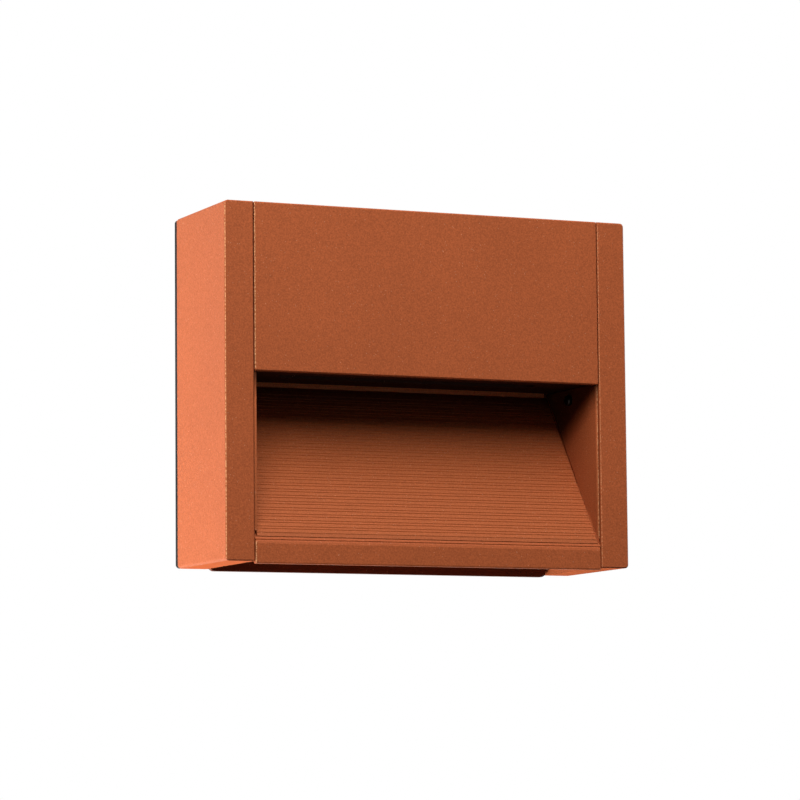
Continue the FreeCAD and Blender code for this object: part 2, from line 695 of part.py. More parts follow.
def make_side_plate():
    """Thin sheet that lines the right end of the recess, from the ceiling to just above the ribs."""
    lift = RIB_DEPTH / 2 + SIDE_PLATE_SLOT
    high = CEILING - SIDE_PLATE_CLEAR
    front = BODY_DEPTH - SIDE_PLATE_SETBACK
    drip_back = BOX_INSIDE_FRONT - SIDE_PLATE_CLEAR
    drip_low = HOOD_EDGE - SIDE_PLATE_CLEAR
    outline = [
        (slope_at_height(high, lift), high),
        (drip_back, high),
        (drip_back, drip_low),
        (front, drip_low),
        (front, slope_at_depth(front, lift)),
    ]
    plate = across(outline, SIDE_PLATE_INNER, PROFILE_END)
    hole = rod(SIDE_SCREW_SHANK + 2 * SEAT_FIT, SIDE_PLATE_THICK + 2 * OVERRUN,
               side_screw_start() - X * OVERRUN, X)
    lip = block(SIDE_PLATE_INNER - OVERRUN, PROFILE_END + OVERRUN, front - LIP_WALL, BODY_DEPTH,
                LOWER_EDGE, CREST_HEIGHT + SIDE_PLATE_CLEAR)
    return plate.cut(Part.makeCompound([hole, lip]))


def reflector_outline():
    """Section of the ribbed reflector: a flat back, a sunk foot, and two unequal teeth to a rib."""
    foot = reflector_foot()
    first = foot + FOOT_LENGTH
    top = CEILING - STRIP_HEIGHT - SEAT_FIT
    low, high = -RIB_DEPTH / 2, RIB_DEPTH / 2
    count = int((top - slope_point(first, high)[1]) / SLOPE_SINE / RIB_PITCH)
    front = [slope_point(foot, low - FOOT_SINK)]
    for rib in range(count):
        for share in (0, SECOND_TOOTH_SHARE):
            start = first + (rib + share) * RIB_PITCH
            front.append(slope_point(start, low))
            front.append(slope_point(start + TOOTH_STEP, high))
    front.append(slope_point(first + count * RIB_PITCH, low))
    front.append((slope_at_height(top, low), top))
    front.append((slope_at_height(top, -REFLECTOR_BACK), top))
    front.append(slope_point(foot, -REFLECTOR_BACK))
    return front


def make_ribbed_reflector():
    half = SIDE_PLATE_INNER - REFLECTOR_END_GAP
    return across(reflector_outline(), -half, half)


def strip_lengths():
    """(low, high) in X of the three lengths of retaining strip."""
    end = SIDE_PLATE_INNER - STRIP_END_GAP
    gap = STRIP_BREAK_GAP / 2
    first, second = [2 * end * share - end for share in STRIP_BREAK_SHARES]
    return [(-end, first - gap), (first + gap, second - gap), (second + gap, end)]


def make_reflector_strip(x_low, x_high):
    """One length of the strip that traps the reflector's top edge under the ceiling."""
    low = CEILING - STRIP_HEIGHT
    back = slope_at_height(low, -REFLECTOR_BACK)
    outline = [
        (back, low),
        (back + STRIP_DEPTH, low),
        (back + STRIP_DEPTH, CEILING),
        (slope_at_height(CEILING, -REFLECTOR_BACK), CEILING),
    ]
    return across(outline, x_low, x_high)


def glass_block(length, width, low, high):
    """A block centred on the window."""
    return block(-length / 2, length / 2, WINDOW_DEPTH - width / 2, WINDOW_DEPTH + width / 2, low, high)


def make_diffuser_gasket():
    ring = glass_block(GLASS_LENGTH, GLASS_WIDTH, FLOOR, GLASS_LOW)
    ring = ring.makeFillet(GLASS_CORNER, edges_along(ring, Z))
    hole = glass_block(GLASS_LENGTH - 2 * GLASS_GASKET_WIDTH, GLASS_WIDTH - 2 * GLASS_GASKET_WIDTH,
                       FLOOR - OVERRUN, GLASS_LOW + OVERRUN)
    return ring.cut(hole)


def make_diffuser_glass():
    glass = glass_block(GLASS_LENGTH, GLASS_WIDTH, GLASS_LOW, SINK_LOW)
    return glass.makeFillet(GLASS_CORNER, edges_along(glass, Z))


def make_led_heatsink():
    """Aluminium channel that stands on the glass's long edges, with the board bonded inside."""
    half = SINK_LENGTH / 2
    channel = block(-half, half, GLASS_BACK, GLASS_FRONT, SINK_LOW, SINK_TOP)
    hollow = block(-half - OVERRUN, half + OVERRUN, GLASS_BACK + SINK_WALL, GLASS_FRONT - SINK_WALL,
                   SINK_LOW - OVERRUN, SINK_TOP - SINK_WALL)
    return channel.cut(hollow)


def make_led_board():
    return block(-BOARD_LENGTH / 2, BOARD_LENGTH / 2, WINDOW_DEPTH - BOARD_WIDTH / 2,
                 WINDOW_DEPTH + BOARD_WIDTH / 2, BOARD_LOW, BOARD_LOW + BOARD_THICK)


def make_leds():
    """Square light chips in a row under the board, an even number of them over the window."""
    count = 2 * round(WINDOW_LENGTH / LED_PITCH / 2)
    first = -LED_PITCH * (count - 1) / 2
    chips = []
    for number in range(count):
        x = first + LED_PITCH * number
        chips.append(block(x - LED_SIZE / 2, x + LED_SIZE / 2, WINDOW_DEPTH - LED_SIZE / 2,
                           WINDOW_DEPTH + LED_SIZE / 2, BOARD_LOW - LED_HEIGHT, BOARD_LOW))
    return chips


def make_gear_tray():
    """Sheet tray that slides in the grooves, with a lead notch, an earth blade and a driver hook."""
    half = PROFILE_END - SLIDE_FIT
    tray = block(-half, half, BOX_INSIDE_BACK + SLIDE_FIT, BOX_INSIDE_FRONT - SLIDE_FIT, TRAY_LOW, TRAY_TOP)
    notch = block(-half - OVERRUN, LEAD_NOTCH_LENGTH - half, WINDOW_DEPTH - LEAD_NOTCH_WIDTH / 2,
                  WINDOW_DEPTH + LEAD_NOTCH_WIDTH / 2, TRAY_LOW - OVERRUN, TRAY_TOP + OVERRUN)
    hole = driver_screw_hole(TRAY_LOW, TRAY_THICK)
    cuts = Part.makeCompound([notch, earth_blade_window(), hole])
    return tray.cut(cuts).multiFuse(earth_blade() + driver_hook()).removeSplitter()


def driver_hook():
    """Hook over the driver's left ear."""
    end = DRIVER_LEFT - EAR_LENGTH - SEAT_FIT
    start = end - TRAY_THICK
    ear_top = TRAY_TOP + DRIVER_WALL + SEAT_FIT
    low_depth = DRIVER_FRONT - EAR_WIDTH
    upright = block(start, end, low_depth, DRIVER_FRONT, TRAY_LOW, ear_top + TRAY_THICK)
    over = block(start, end + EAR_LENGTH / 2, low_depth, DRIVER_FRONT, ear_top, ear_top + TRAY_THICK)
    return [upright, over]


def earth_blade_start():
    return DRIVER_RIGHT + BLADE_SPACE


def earth_blade():
    """Blade for the earth lead: an upright cut from the tray, and a flat end towards the block."""
    start = earth_blade_start()
    back = pole_depth(0) - BLADE_WIDTH / 2
    front = pole_depth(0) + BLADE_WIDTH / 2
    top = LEAD_HEIGHT + BLADE_THICK / 2
    upright = block(start, start + BLADE_THICK, back, front, TRAY_LOW, top)
    flat = block(start, start + BLADE_LENGTH, back, front, top - BLADE_THICK, top)
    return [upright, flat]


def earth_blade_window():
    """The window that the blade leaves in the tray, as long as the blade's upright and flat end."""
    start = earth_blade_start() + BLADE_THICK
    half = (BLADE_WIDTH + BEND_RELIEF) / 2
    return block(start, start + BLADE_LENGTH + TERMINAL_WIRE_HEIGHT, pole_depth(0) - half,
                 pole_depth(0) + half, TRAY_LOW - OVERRUN, TRAY_TOP + OVERRUN)


def driver_screw_place(height):
    return point(DRIVER_RIGHT + EAR_LENGTH / 2, DRIVER_FRONT - EAR_WIDTH / 2, height)


def driver_screw_hole(low, length):
    return rod(DRIVER_SCREW_SHANK + 2 * SEAT_FIT, length, driver_screw_place(low), Z)


def make_driver_base():
    """Bottom of the driver's case, with an ear at each end."""
    high = TRAY_TOP + DRIVER_WALL
    base = block(DRIVER_LEFT, DRIVER_RIGHT, DRIVER_BACK, DRIVER_FRONT, TRAY_TOP, high)
    ears = block(DRIVER_LEFT - EAR_LENGTH, DRIVER_RIGHT + EAR_LENGTH, DRIVER_FRONT - EAR_WIDTH,
                 DRIVER_FRONT, TRAY_TOP, high)
    ears = ears.makeChamfer(EAR_CORNER, edges_along(ears, Z))
    return base.fuse(ears).removeSplitter().cut(driver_screw_hole(TRAY_TOP, DRIVER_WALL))


def make_driver_case():
    """Moulded cover over the driver's board, with square lead holes in its ends."""
    low = TRAY_TOP + DRIVER_WALL
    high = TRAY_TOP + DRIVER_HEIGHT
    case = block(DRIVER_LEFT, DRIVER_RIGHT, DRIVER_BACK, DRIVER_FRONT, low, high)
    case = case.makeFillet(DRIVER_CORNER, edges_along(case, Z))
    hollow = block(DRIVER_LEFT + DRIVER_WALL, DRIVER_RIGHT - DRIVER_WALL, DRIVER_BACK + DRIVER_WALL,
                   DRIVER_FRONT - DRIVER_WALL, low - OVERRUN, high - DRIVER_WALL)
    cuts = [hollow, lead_hole(DRIVER_LEFT, WINDOW_DEPTH, LED_LEAD_WIDTH, LED_LEAD_THICK)]
    for number in (1, 2):
        cuts.append(lead_hole(DRIVER_RIGHT - DRIVER_WALL, pole_depth(number), LEAD_DIAMETER, LEAD_DIAMETER))
    return case.cut(Part.makeCompound(cuts))


def lead_hole(x_low, depth, width, thick):
    """A hole through an end wall of the driver's case, a little larger than its lead."""
    across_half = width / 2 + SLIDE_FIT
    upright_half = thick / 2 + SLIDE_FIT
    return block(x_low - OVERRUN, x_low + DRIVER_WALL + OVERRUN, depth - across_half, depth + across_half,
                 LEAD_HEIGHT - upright_half, LEAD_HEIGHT + upright_half)


def driver_board_low():
    return TRAY_TOP + DRIVER_WALL + DRIVER_BOARD_RISE + LEAD_DIAMETER


def make_driver_board():
    """Circuit board on two feet inside the driver's case."""
    gap = DRIVER_WALL + DRIVER_BOARD_GAP
    low = driver_board_low()
    foot_reach = (DRIVER_RIGHT - DRIVER_LEFT) / 3
    board = block(DRIVER_LEFT + gap, DRIVER_RIGHT - gap, DRIVER_BACK + gap, DRIVER_FRONT - gap,
                  low, low + BOARD_THICK)
    feet = []
    for back in (DRIVER_BACK + gap, DRIVER_FRONT - gap - DRIVER_WALL):
        feet.append(block(DRIVER_LEFT + foot_reach, DRIVER_RIGHT - foot_reach, back,
                          back + DRIVER_WALL, TRAY_TOP + DRIVER_WALL, low))
    return board.multiFuse(feet).removeSplitter()


def make_driver_transformer():
    """A core of two flanges with the winding between them."""
    low = driver_board_low() + BOARD_THICK
    x = (DRIVER_LEFT + DRIVER_RIGHT) / 2
    half = TRANSFORMER_LENGTH / 2
    back = DRIVER_MIDDLE - TRANSFORMER_WIDTH / 2
    front = DRIVER_MIDDLE + TRANSFORMER_WIDTH / 2
    flange = (TRANSFORMER_HEIGHT - WINDING_HEIGHT) / 2
    foot = block(x - half, x + half, back, front, low, low + flange)
    head = foot.translated(Z * (TRANSFORMER_HEIGHT - flange))
    winding = rod(WINDING_DIAMETER, WINDING_HEIGHT, point(x, DRIVER_MIDDLE, low + flange), Z)
    return foot.multiFuse([winding, head])


def make_driver_capacitors():
    """Two round capacitors, one on each side of the transformer."""
    low = driver_board_low() + BOARD_THICK
    middle = (DRIVER_LEFT + DRIVER_RIGHT) / 2
    reach = (TRANSFORMER_LENGTH + CAPACITOR_DIAMETER) / 2 + CAPACITOR_SPACE
    return [rod(CAPACITOR_DIAMETER, CAPACITOR_HEIGHT, point(x, DRIVER_MIDDLE, low), Z)
            for x in (middle - reach, middle + reach)]


def make_driver_screw():
    return hexagon_screw(driver_screw_place(TRAY_TOP + DRIVER_WALL), -Z, DRIVER_SCREW_SHANK,
                         DRIVER_SCREW_LENGTH, DRIVER_SCREW_FLATS, DRIVER_SCREW_HEAD_HEIGHT)


def pole_depth(number):
    return TERMINAL_BACK + TERMINAL_PITCH * (number + 1 / 2)


def make_terminal_block():
    """Three-pole block with stepped shoulders, and square wire entries and screw wells."""
    front = TERMINAL_BACK + TERMINAL_PITCH * TERMINAL_POLES
    high = TRAY_TOP + TERMINAL_HEIGHT
    body = block(TERMINAL_LEFT, TERMINAL_RIGHT, TERMINAL_BACK, front, TRAY_TOP, high - TERMINAL_SHOULDER)
    crown = block(TERMINAL_LEFT + TERMINAL_SHOULDER / 2, TERMINAL_RIGHT - TERMINAL_SHOULDER / 2,
                  TERMINAL_BACK, front, TRAY_TOP, high)
    body = body.fuse(crown).removeSplitter()
    entry = TERMINAL_WIRE_HOLE / 2
    well = TERMINAL_SCREW / 2 + TERMINAL_SCREW_FIT
    cuts = []
    for number in range(TERMINAL_POLES):
        depth = pole_depth(number)
        for x_low in (TERMINAL_LEFT, TERMINAL_RIGHT - TERMINAL_WIRE_HOLE_DEPTH):
            cuts.append(block(x_low, x_low + TERMINAL_WIRE_HOLE_DEPTH, depth - entry, depth + entry,
                              LEAD_HEIGHT - entry, LEAD_HEIGHT + entry))
        for x in terminal_screw_places():
            cuts.append(block(x - well, x + well, depth - well, depth + well, terminal_screw_low(), high))
    for cut in cuts:
        body = body.cut(cut)
    return body


def terminal_screw_low():
    """The screws stand on the leads."""
    return LEAD_HEIGHT + LEAD_DIAMETER / 2


def terminal_screw_places():
    quarter = TERMINAL_LENGTH / 4
    return [TERMINAL_LEFT + quarter, TERMINAL_LEFT + 3 * quarter]


def make_terminal_screws():
    """Slotted screws in the block's wells, with eight sides in place of round ones."""
    low = terminal_screw_low()
    top = TRAY_TOP + TERMINAL_HEIGHT - TERMINAL_SCREW_SINK
    screws = []
    for number in range(TERMINAL_POLES):
        for x in terminal_screw_places():
            screw = prism(8, TERMINAL_SCREW, top - low, point(x, pole_depth(number), low), Z)
            slot = block(x - TERMINAL_SCREW, x + TERMINAL_SCREW,
                         pole_depth(number) - EDGE_BREAK, pole_depth(number) + EDGE_BREAK,
                         top - TERMINAL_SCREW_SINK / 2, top + OVERRUN)
            screws.append(screw.cut(slot))
    return screws


def earth_tag_end():
    """X at which the tag's sleeve ends and its crimp barrel starts."""
    return earth_blade_start() + BLADE_LENGTH + EARTH_TAG_WALL


def make_earth_tag():
    """Push-on tag: an open-topped sleeve round the blade, with a crimp barrel for the lead."""
    end = earth_tag_end()
    start = end - EARTH_TAG_LENGTH
    inner = BLADE_WIDTH / 2 + SEAT_FIT
    outer = inner + EARTH_TAG_WALL
    depth = pole_depth(0)
    half = BLADE_THICK / 2 + SEAT_FIT
    sleeve = block(start, end, depth - outer, depth + outer,
                   LEAD_HEIGHT - half - EARTH_TAG_WALL, LEAD_HEIGHT + half + EARTH_TAG_WALL)
    hollow = block(start - OVERRUN, end - EARTH_TAG_WALL + SEAT_FIT, depth - inner, depth + inner,
                   LEAD_HEIGHT - half, LEAD_HEIGHT + half)
    gap = block(start - OVERRUN, end - EARTH_TAG_WALL, depth - EARTH_TAG_GAP / 2,
                depth + EARTH_TAG_GAP / 2, LEAD_HEIGHT, LEAD_HEIGHT + half + EARTH_TAG_WALL + OVERRUN)
    barrel = rod(EARTH_BARREL, EARTH_BARREL_LENGTH, point(end, depth, LEAD_HEIGHT), X)
    return sleeve.cut(hollow).cut(gap).fuse(barrel)


def straight_lead(start_x, number):
    """A lead that runs straight into a pole of the block, under the pole's nearer screw."""
    end_x = TERMINAL_LEFT + TERMINAL_WIRE_HOLE_DEPTH - LEAD_DIAMETER / 2
    return rod(LEAD_DIAMETER, end_x - start_x, point(start_x, pole_depth(number), LEAD_HEIGHT), X)


def make_earth_lead():
    return straight_lead(earth_tag_end() + EARTH_BARREL_LENGTH, 0)


def make_led_lead():
    """Flat two-core lead from the driver, in one half circle through the notch, to the LED board."""
    low = BOARD_LOW + BOARD_THICK / 2
    radius = (LEAD_HEIGHT - low) / 2
    half = LED_LEAD_THICK / 2
    wide = LED_LEAD_WIDTH / 2
    back = WINDOW_DEPTH - wide
    front = WINDOW_DEPTH + wide
    turn_x = LED_LEAD_END_SPACE - PROFILE_END + half + radius
    start = point(turn_x, front, low + radius)
    turn = Part.makeCylinder(radius + half, LED_LEAD_WIDTH, start, Y)
    turn = turn.cut(Part.makeCylinder(radius - half, LED_LEAD_WIDTH, start, Y))
    turn = turn.cut(block(turn_x, turn_x + radius + OVERRUN, back, front,
                          low - OVERRUN, LEAD_HEIGHT + OVERRUN))
    upper = block(turn_x, DRIVER_LEFT + DRIVER_WALL, back, front, LEAD_HEIGHT - half, LEAD_HEIGHT + half)
    lower = block(turn_x, -BOARD_LENGTH / 2, back, front, low - half, low + half)
    return turn.multiFuse([upper, lower]).removeSplitter()


def make_cable_grommet():
    """Rubber grommet that grips the supply cable: outer flange, neck in the wall, inner lip."""
    mouth = point(0, BOX_BACK - GROMMET_FLANGE_THICK, CABLE_HEIGHT)
    flange = rod(GROMMET_FLANGE, GROMMET_FLANGE_THICK, mouth, -Y)
    neck = rod(GROMMET_NECK, REAR_WALL, point(0, BOX_BACK, CABLE_HEIGHT), -Y)
    lip = rod(GROMMET_LIP, GROMMET_LIP_THICK, point(0, BOX_INSIDE_BACK, CABLE_HEIGHT), -Y)
    length = GROMMET_FLANGE_THICK + REAR_WALL + GROMMET_LIP_THICK
    return flange.multiFuse([neck, lip]).cut(rod(CABLE_BORE, length, mouth, -Y))


def make_cap_screws():
    screws = []
    for start, direction in lug_screw_places():
        screws += both_sides(hexagon_screw(start, direction, LUG_SCREW_SHANK, LUG_SCREW_LENGTH,
                                           LUG_SCREW_FLATS, LUG_SCREW_HEAD_HEIGHT))
    return screws


def make_side_plate_screws():
    screw = pan_screw(side_screw_start(), X, SIDE_SCREW_SHANK, SIDE_SCREW_LENGTH,
                      SIDE_SCREW_HEAD, SIDE_SCREW_HEAD_HEIGHT)
    return both_sides(screw)


def fixing_seat():
    """Point on the right fixing screw's axis where its head meets the tab's underside."""
    return point(TAB_SPACING / 2, screw_rail_middle(), tab_height() - PLATE_THICK - SLIDE_FIT)


def make_fixing_screws():
    screw = pan_screw(fixing_seat(), Z, FIXING_SHANK, FIXING_LENGTH, FIXING_HEAD, FIXING_HEAD_HEIGHT)
    return both_sides(screw)


def save(name, shape):
    """Write one sub-part, or a group of identical solids, to its own file."""
    solids = shape if isinstance(shape, list) else [shape]
    group = solids[0] if len(solids) == 1 else Part.makeCompound(solids)
    for solid in group.Solids:
        if not solid.isValid() or solid.Volume <= 0:
            raise ValueError(name + " has a solid that is not closed")
    print(name, "solids", len(group.Solids), "volume", round(group.Volume, 1))
    group.exportStep("parts/" + name + ".step")


def main():
    os.makedirs("parts", exist_ok=True)
    save("wall_gasket", make_wall_gasket())
    save("wall_plate", make_wall_plate())
    save("housing_profile", make_housing_profile())
    cap = make_end_cap()
    save("end_cap_right", cap)
    save("end_cap_left", mirrored(cap))
    seal = make_end_gasket()
    save("end_gasket_right", seal)
    save("end_gasket_left", mirrored(seal))
    save("cap_screws", make_cap_screws())
    plate = make_side_plate()
    save("side_plate_right", plate)
    save("side_plate_left", mirrored(plate))
    save("side_plate_screws", make_side_plate_screws())
    save("ribbed_reflector", make_ribbed_reflector())
    for name, (x_low, x_high) in zip(("left", "centre", "right"), strip_lengths()):
        save("reflector_strip_" + name, make_reflector_strip(x_low, x_high))
    save("diffuser_gasket", make_diffuser_gasket())
    save("diffuser_glass", make_diffuser_glass())
    save("led_heatsink", make_led_heatsink())
    save("led_board", make_led_board())
    save("leds", make_leds())
    save("gear_tray", make_gear_tray())
    save("driver_base", make_driver_base())
    save("driver_case", make_driver_case())
    save("driver_board", make_driver_board())
    save("driver_transformer", make_driver_transformer())
    save("driver_capacitors", make_driver_capacitors())
    save("driver_screw", make_driver_screw())
    save("terminal_block", make_terminal_block())
    save("terminal_screws", make_terminal_screws())
    save("earth_tag", make_earth_tag())
    save("live_lead", straight_lead(DRIVER_RIGHT - DRIVER_WALL, 1))
    save("neutral_lead", straight_lead(DRIVER_RIGHT - DRIVER_WALL, 2))
    save("earth_lead", make_earth_lead())
    save("led_lead", make_led_lead())
    save("cable_grommet", make_cable_grommet())
    save("fixing_screws", make_fixing_screws())


main()
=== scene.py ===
import json
import math

import bpy
from mathutils import Matrix, Vector


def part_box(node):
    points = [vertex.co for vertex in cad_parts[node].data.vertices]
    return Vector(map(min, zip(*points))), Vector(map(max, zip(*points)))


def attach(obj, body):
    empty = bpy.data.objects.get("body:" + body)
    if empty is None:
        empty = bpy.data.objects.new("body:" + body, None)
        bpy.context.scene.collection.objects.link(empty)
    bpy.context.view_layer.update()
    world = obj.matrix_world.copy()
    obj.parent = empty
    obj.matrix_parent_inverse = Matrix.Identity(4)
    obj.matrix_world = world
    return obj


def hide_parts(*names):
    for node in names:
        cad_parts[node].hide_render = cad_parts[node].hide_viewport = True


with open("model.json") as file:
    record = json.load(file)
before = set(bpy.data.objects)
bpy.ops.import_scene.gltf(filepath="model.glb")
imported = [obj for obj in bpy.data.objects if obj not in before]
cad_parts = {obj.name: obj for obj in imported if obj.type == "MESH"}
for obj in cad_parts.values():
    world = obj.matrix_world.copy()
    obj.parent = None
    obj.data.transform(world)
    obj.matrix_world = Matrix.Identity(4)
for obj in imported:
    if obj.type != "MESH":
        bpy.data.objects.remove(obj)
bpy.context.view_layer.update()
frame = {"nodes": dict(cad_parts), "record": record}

MM = 0.001

# Shade that is painted on the coat: the share of its colour that goes, and the heights between
# which the shade grows to its full strength.
RECESS_DARK = 0.78
RECESS_SHADE = (-6 * MM, 1.5 * MM)
CEILING_DARK = 0.95
STRIP_DARK = 0.1
SIDE_DARK = 0.85
SIDE_SHADE = (-5 * MM, 5 * MM)
SIDE_SHADE_SLOPE = 0.58  # what each metre further back adds to the height that counts
UNDERSIDE_DARK = 0.65

# Painted light on the slope: its coat pales between these heights, by these shares.
SLOPE_PAINTED_LIGHT = (-38 * MM, -10 * MM, -0.03, 0.22)

# How far painted areas reach.
HAIR = 0.1 * MM  # past a face that belongs to the area
HALF_HAIR = 0.05 * MM
RECESS_FRONT = 0.3 * MM  # before the side plates' front edges
CEILING_THICK = 5 * MM
LIP_DEPTH = 3 * MM
PLATE_SHEET = 2.3 * MM  # a little more than the wall plate's sheet
PLATE_FOOT = (9 * MM, 5 * MM)  # above the wall plate's lower edge: shade begins, shade is full
# Painted highlights along a few left-facing front edges: their width, and their strength.
HIGHLIGHT_WIDTH = 0.3 * MM
RIGHT_SEAM_HIGHLIGHT = 0.5  # how strongly, next to the left edges
PLATE_EDGE_HIGHLIGHT = 0.6
SEAM = 0.35 * MM  # from a side plate to the seam beside its end cap
CAP_FOOT_DEPTH = 0.5 * MM
CAP_FOOT_HEIGHT = 0.4 * MM

# Powder coat: the sizes of its marks and the height of its skin.
CLOUD = 30 * MM
GRAIN = 0.45 * MM
PIMPLE = 1.1 * MM
FLAKE = 1.2 * MM
FLAKE_FIELD = 2 * MM
HIGHLIGHT_PATCH = 0.7 * MM
SKIN_HEIGHT = 0.06 * MM
INSERT_GRAIN = 0.6  # the skin's height on the slope and its strip, as a share of the body's

# Powder coat: what its marks do. The tones are shares of the coat's own colour. Limits are values
# of the noise. In each row of four, the noise between the first two gives shares between the
# last two.
CLOUD_LIMITS = (0.3, 0.7)
CLOUD_TONES = (0.96, 1.03)
HIGHLIGHT_LIMITS = (0.38, 0.62)
# Painted shade in the recess: shares of the coat's red, green and blue there.
RECESS_SHADE_TONE = (0.94, 1, 1.02)  # red, green, blue
GRAIN_TONES = (0.35, 0.68, 0.8, 1.15)
GRAIN_ROUGHNESS = (0.3, 0.7, 0.62, 0.48)
FLAKE_CORE = 0.13  # of a cell
FLAKE_LIMIT = 0.54  # there are flakes over it
FLAKE_GLOSS = 0.2
BOTTOM_ROUGHNESS = 0.4

# Screws, grommet and light chips.
CORNERS_OVER_FLATS = 2 / math.sqrt(3)
SOCKET_SHARE = 0.7  # the socket's width over its flats, as a share of the shank's
FIXING_HEAD_HEIGHT = 2.6 * MM
FIXING_SHANK = 4 * MM
FIXING_PITCH = 0.7 * MM
SIDE_HEAD_HEIGHT = 1.5 * MM
SIDE_SHANK = 2 * MM
SIDE_PITCH = 0.4 * MM
CAP_SCREW_FLATS = 5.5 * MM
CAP_SCREW_HEAD_HEIGHT = 2 * MM
CAP_SCREW_SHANK = 3 * MM
CAP_SCREW_LENGTH = 8 * MM
CAP_SCREW_PITCH = 0.5 * MM
BORE_SHARE = 0.406  # the grommet's bore, as a share of its flange
RIDGES = 6
LED_PITCH = 8 * MM
SMOOTH_ANGLE = math.radians(35)

# Studio: each softbox's place and size in metres, and its power in watts.
LAMP_MIDDLE = (0, -25 * MM, 0)
SOFTBOXES = {
    "side_softbox": ((-0.8, 0.28, 0.1), (0.5, 0.5), 7.1),
    "under_softbox": ((-0.25, 0.16, -0.34), (0.3, 0.3), 3.4),
    "front_softbox": ((-0.21, -0.53, 0.63), (0.7, 0.9), 11.8),
    "right_softbox": ((0.9, 0.3, 0.15), (0.5, 0.5), 3.0),
}
FILL = 0.03
FLOOR_WIDTH = 12
FLOOR_HEIGHT = -1.6

# Camera: its direction and roll in degrees, and the place that it looks at.
AZIMUTH = -24.21
ELEVATION = -6.16
ROLL = -0.53
DISTANCE = 1.308
LOOKS_AT = (-1.32 * MM, -24.75 * MM, -2.13 * MM)
LENS = 171.5
FILM_WIDTH = 36
CLIP_END = 20


def srgb(red, green, blue):
    """A colour picked on screen, from 0 to 255, as the linear values that shaders take."""
    linear = []
    for value in (red / 255, green / 255, blue / 255):
        linear.append(value / 12.92 if value <= 0.04045 else ((value + 0.055) / 1.055) ** 2.4)
    return (*linear, 1)


def toned(colour, share):
    """A colour times a share: paler over 1, darker under it."""
    return (*(value * share for value in colour[:3]), 1)


# Shader maths


class Wire:
    """One output of a shader node, which can stand in a sum or a product."""

    def __init__(self, finish, socket):
        self.finish = finish
        self.socket = socket

    def __add__(self, other):
        return self.finish.math("ADD", self, other)

    def __radd__(self, other):
        return self.finish.math("ADD", other, self)

    def __sub__(self, other):
        return self.finish.math("SUBTRACT", self, other)

    def __rsub__(self, other):
        return self.finish.math("SUBTRACT", other, self)

    def __mul__(self, other):
        return self.finish.math("MULTIPLY", self, other)

    def __rmul__(self, other):
        return self.finish.math("MULTIPLY", other, self)

    def __gt__(self, other):
        return self.finish.math("GREATER_THAN", self, other)

    def __lt__(self, other):
        return self.finish.math("LESS_THAN", self, other)


class Finish:
    """A material or world, with the nodes that give it its looks."""

    def __init__(self, name, world=False):
        self.material = (bpy.data.worlds if world else bpy.data.materials).new(name)
        self.material.use_nodes = True
        self.tree = self.material.node_tree
        self.tree.nodes.clear()
        self.place = self.node("TexCoord", {}, {}, "Object")

    def node(self, kind, settings, sockets, output=0):
        """Adds a node of a kind with its settings, and the values or wires of its sockets."""
        node = self.tree.nodes.new("ShaderNode" + kind)
        for name, value in settings.items():
            setattr(node, name, value)
        for name, value in sockets.items():
            if isinstance(value, Wire):
                self.tree.links.new(value.socket, node.inputs[name])
            else:
                node.inputs[name].default_value = value
        return Wire(self, node.outputs[output])

    def math(self, operation, first, second):
        return self.node("Math", {"operation": operation}, {0: first, 1: second})

    def noise(self, size, detail=2.0, place=None, rough=0.5):
        """Cloudy noise whose lumps are about this many metres across."""
        sockets = {"Vector": place or self.place, "Scale": 1 / size, "Detail": detail,
                   "Roughness": rough}
        return self.node("TexNoise", {}, sockets, "Fac")

    def cells(self, size, output="Distance"):
        """Cells about this many metres across."""
        return self.node("TexVoronoi", {}, {"Vector": self.place, "Scale": 1 / size}, output)

    def bands(self, direction, scale):
        """Soft bands across a direction, one every 0.314 / scale metres."""
        sockets = {"Vector": self.place, "Scale": scale}
        return self.node("TexWave", {"bands_direction": direction}, sockets, "Fac")

    def spread(self, value, low, high, new_low=0.0, new_high=1.0):
        """Stretches the part of a value from low to high over a new range."""
        sockets = {"Value": value, "From Min": low, "From Max": high,
                   "To Min": new_low, "To Max": new_high}
        return self.node("MapRange", {"clamp": True}, sockets)

    def mix(self, share, first, second):
        """Two colours mixed: the first at 0, the second at 1."""
        return self.node("Mix", {"data_type": "RGBA"}, {0: share, 6: first, 7: second}, 2)

    def stretched(self, scale):
        """Object coordinates, with a scale for each axis."""
        return self.node("Mapping", {}, {"Vector": self.place, "Scale": scale})

    def axis(self, name):
        """How far along X, Y or Z a point is, in metres."""
        return self.node("SeparateXYZ", {}, {"Vector": self.place}, name)

    def bump(self, height, distance, under=None):
        """A skin as high as the distance where the height is 1, on top of another skin."""
        sockets = {"Height": height, "Distance": distance, "Strength": 1.0}
        if under:
            sockets["Normal"] = under
        return self.node("Bump", {}, sockets)

    def backdrop_rays(self):
        """1 for rays from the camera and for rays that shiny or clear surfaces pass on, else 0."""
        seen = self.node("LightPath", {}, {}, "Is Camera Ray")
        for kind in ("Is Glossy Ray", "Is Transmission Ray"):
            seen = self.math("MAXIMUM", seen, self.node("LightPath", {}, {}, kind))
        return seen

    def surface(self, **sockets):
        """Ends a material with the main shader, whose sockets are given by name."""
        named = {name.replace("_", " "): value for name, value in sockets.items()}
        return self.finish(self.node("BsdfPrincipled", {}, named), "OutputMaterial")

    def finish(self, shader, kind):
        output = self.tree.nodes.new("ShaderNode" + kind)
        self.tree.links.new(shader.socket, output.inputs["Surface"])
        return self.material


# Painted areas of the coat


def inside(coat, axis, low, high):
    """1 where a point lies between two places along an axis, which are in metres."""
    place = coat.axis(axis)
    return (place > low) * (place < high)


